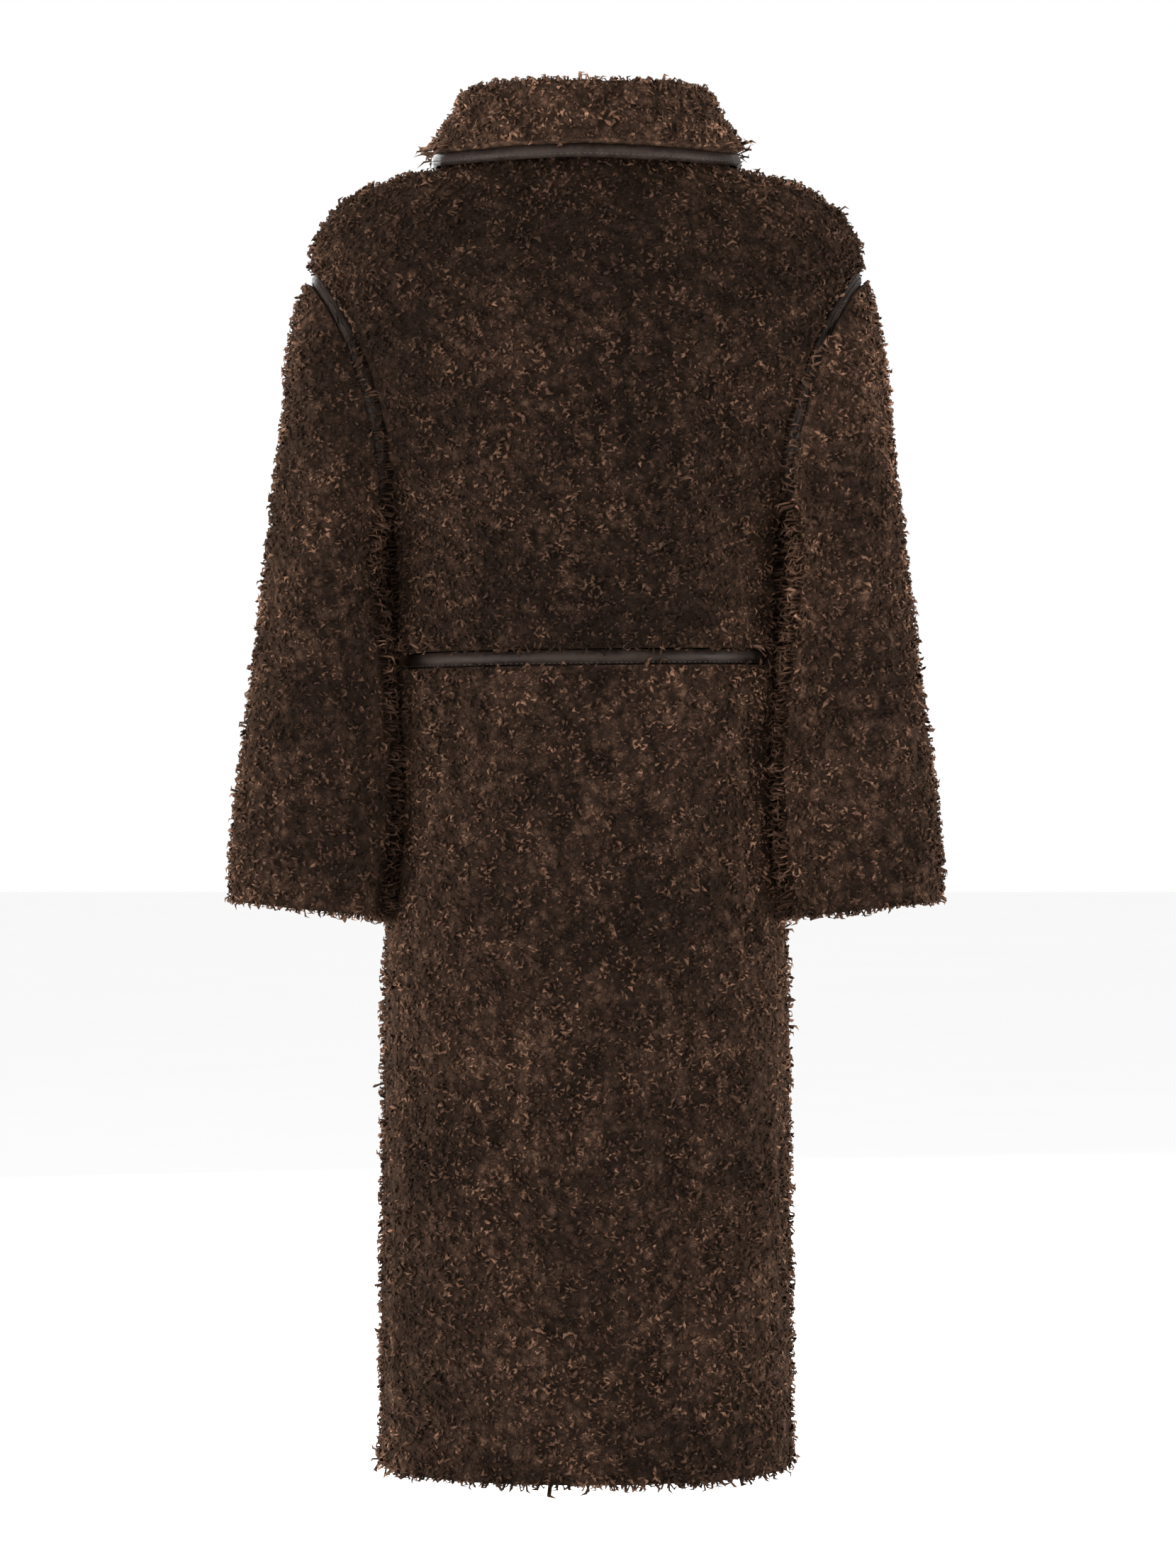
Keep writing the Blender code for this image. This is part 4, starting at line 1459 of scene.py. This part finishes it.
@dataclass
class ArmholeFur(FurPanel):
    """A panel that meets an armhole strip, with the pile that closes over its lower part.

    Heights are measured from the neck opening. sideways is how squarely a lock must face across
    between body and sleeve: out from the body if positive, in from the sleeve if negative.
    """

    covered_below: float = -0.166
    covered_above: float = -0.36
    cover_near: float = 0.011
    cover_reach: float = 1.7
    bare_near: float = 0.0100
    bare_gap: float = 0.01
    touch_above: float = -0.70
    touch_reach: float = 1.5
    touch_press: float = -0.8
    sideways: float = 0.92

    def comb(self, nap: Nap, trees: Trees) -> None:
        """Leans the locks over the strip's lower part, and lets body and sleeve touch.

        Args:
            nap: the nap to change.
            trees: the solids' surfaces.
        """
        super().comb(nap, trees)
        touching = self.touches(nap)
        nap.reach[touching] = self.touch_reach
        # These locks stand on end, so they are also painted darker: painted shade between body and sleeve.
        nap.press[touching] = self.touch_press
        low = (nap.z < self.covered_below) & (nap.z > self.covered_above)
        for name in ("armhole_strip_left", "armhole_strip_right"):
            nap.lean_to(trees[name], self.cover_near, low, self.cover_reach)
            nap.keep_off(trees[name], self.bare_near, nap.z > self.covered_below + self.bare_gap)

    def touches(self, nap: Nap) -> np.ndarray:
        """Tells which locks grow straight across between the body and a sleeve.

        Args:
            nap: the nap, for its roots.

        Returns:
            True for each that does.
        """
        out = nap.roots.normals[:, 0] * np.sign(nap.x)
        low = (nap.z < self.covered_below) & (nap.z > self.touch_above)
        return low & (out > self.sideways if self.sideways > 0 else out < self.sideways)


@dataclass
class UpperBack(ArmholeFur):
    """Back from the neck and shoulders to the waist seam."""

    waist_near: float = 0.0065
    waist_below: float = -0.4
    collar_near: float = 0.016
    collar_press: float = 0.9
    band_half_width: float = 0.13
    band_above: float = -0.06
    band_press: float = 0.2
    band_pull: float = 2.4

    def comb(self, nap: Nap, trees: Trees) -> None:
        """Adds the band of sideways pressed pile under the collar's edge.

        Args:
            nap: the nap to change.
            trees: the solids' surfaces.
        """
        super().comb(nap, trees)
        nap.keep_off(trees["waist_strip"], self.waist_near, nap.z < self.waist_below)
        # The pile pressed under the collar's edge is also painted lighter: painted light against the collar's
        # shadow.
        nap.part_at(trees["collar_strip"], self.collar_near, self.collar_press)
        band = (np.abs(nap.x) < self.band_half_width) & (nap.z > self.band_above)
        band &= (nap.press > self.band_press) & (nap.roots.places[:, 1] > 0)
        nap.pull[band] += np.array((self.band_pull, 0.0, 0.0))


@dataclass
class LowerBack(ArmholeFur):
    """Back from the waist seam to the hem."""

    waist_near: float = 0.0065
    waist_above: float = -0.52

    def comb(self, nap: Nap, trees: Trees) -> None:
        """Keeps the locks off the waist strip."""
        super().comb(nap, trees)
        nap.keep_off(trees["waist_strip"], self.waist_near, nap.z > self.waist_above)


@dataclass
class Front(ArmholeFur):
    """One front, from the shoulder to the hem."""


@dataclass
class Sleeve(ArmholeFur):
    """One sleeve, a tube from the armhole to the cuff."""

    sideways: float = -0.88


@dataclass
class Collar(FurPanel):
    """Stand and fall, folded over in one piece."""

    strip_end: float = 0.122
    strip_front: float = -0.08
    fall_edge: float = 0.026
    end_pull: float = 3.0
    end_reach: float = 2.1
    end_press: float = -0.35

    def comb(self, nap: Nap, trees: Trees) -> None:
        """Leans the locks over the ends of the leather strip.

        Args:
            nap: the nap to change.
            trees: the solids' surfaces.
        """
        super().comb(nap, trees)
        ends = (np.abs(nap.x) > self.strip_end) & (nap.roots.places[:, 1] > self.strip_front)
        ends &= nap.z < self.fall_edge
        nap.pull[ends] += self.end_pull * DOWN
        nap.reach[ends] = self.end_reach
        nap.press[ends] = self.end_press


@dataclass
class Coat:
    """The whole coat as fur panels and leather strips."""

    # The pile finishes differ only in their painted light gain: painted light that makes the skirt, fronts,
    # sleeves and collar lighter than the upper back, and the right sleeve lighter than the left.
    panels: tuple[FurPanel, ...] = (
        UpperBack("back_upper", "upper_back", (0.55, 0.50), 0.235, ("collar_fur_backing",),
                  seams=("front_left", "front_right"), lay=Lay(spacing=0.0034, seed=11)),
        LowerBack("back_lower", "lower_back", (0.42, 0.76), 0.31, ("upper_back_backing",),
                  seams=("front_left", "front_right"), lay=Lay(seed=12),
                  finish=PileFinish("skirt pile", painted_light_gain=1.3)),
        *(Front("front_" + side, side + "_front", (0.44, 1.24), 0.40, ("upper_back_backing",), cuts=2,
                seams=("back_upper", "back_lower"), lay=Lay(spacing=0.0043, seed=seed),
                finish=PileFinish("front pile", painted_light_gain=1.2))
          for side, seed in (("left", 13), ("right", 14))),
        *(Sleeve("sleeve_" + side, side + "_sleeve", (0.42, 0.60), 0.20, ("upper_back_backing",),
                 lay=Lay(seed=seed), finish=PileFinish(side + " sleeve pile", painted_light_gain=painted_light_gain))
          for side, seed, painted_light_gain in (("left", 15, 1.18), ("right", 16, 1.45))),
        Collar("collar", "collar_fur", (0.62, 0.17), 0.09, ("upper_back_backing",), held="folded",
               lay=Lay(spacing=0.0034, seed=17), finish=PileFinish("collar pile", painted_light_gain=1.9)),
    )
    strips: tuple[LeatherStrip, ...] = (
        LeatherStrip("waist_strip", "waist_leather", (0.40, 0.021), ("upper_back_backing",)),
        *(LeatherStrip("armhole_strip_" + side, side + "_armhole_leather", (0.64, 0.034),
                       ("upper_back_backing",), Edge.BODY, swell=0.0028)
          for side in ("left", "right")),
        LeatherStrip("collar_strip", "collar_leather", (0.74, 0.020), ("collar_fur_backing",)),
    )

    def build(self, nodes: Nodes) -> None:
        """Builds every piece.

        Args:
            nodes: the solids by name.
        """
        trees = {name: self._surface(node.data) for name, node in nodes.items()}
        for panel in self.panels:
            self._report(panel.build(nodes, trees))
        for strip in self.strips:
            self._report(strip.build(nodes))

    @staticmethod
    def _surface(mesh: bpy.types.Mesh) -> BVHTree:
        """Makes a solid's surface searchable."""
        return BVHTree.FromPolygons([v.co for v in mesh.vertices], [tuple(p.vertices) for p in mesh.polygons])

    @staticmethod
    def _report(pieces: list[bpy.types.Object]) -> None:
        """Logs built pieces."""
        for piece in pieces:
            LOG.info("built %s: %d faces", piece.name, len(piece.data.polygons))


def main() -> None:
    """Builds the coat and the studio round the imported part."""
    logging.basicConfig(level=logging.INFO, format="%(name)s: %(message)s")
    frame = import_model()
    Coat().build(frame["nodes"])
    Studio().build()


if __name__ == "__main__":
    main()
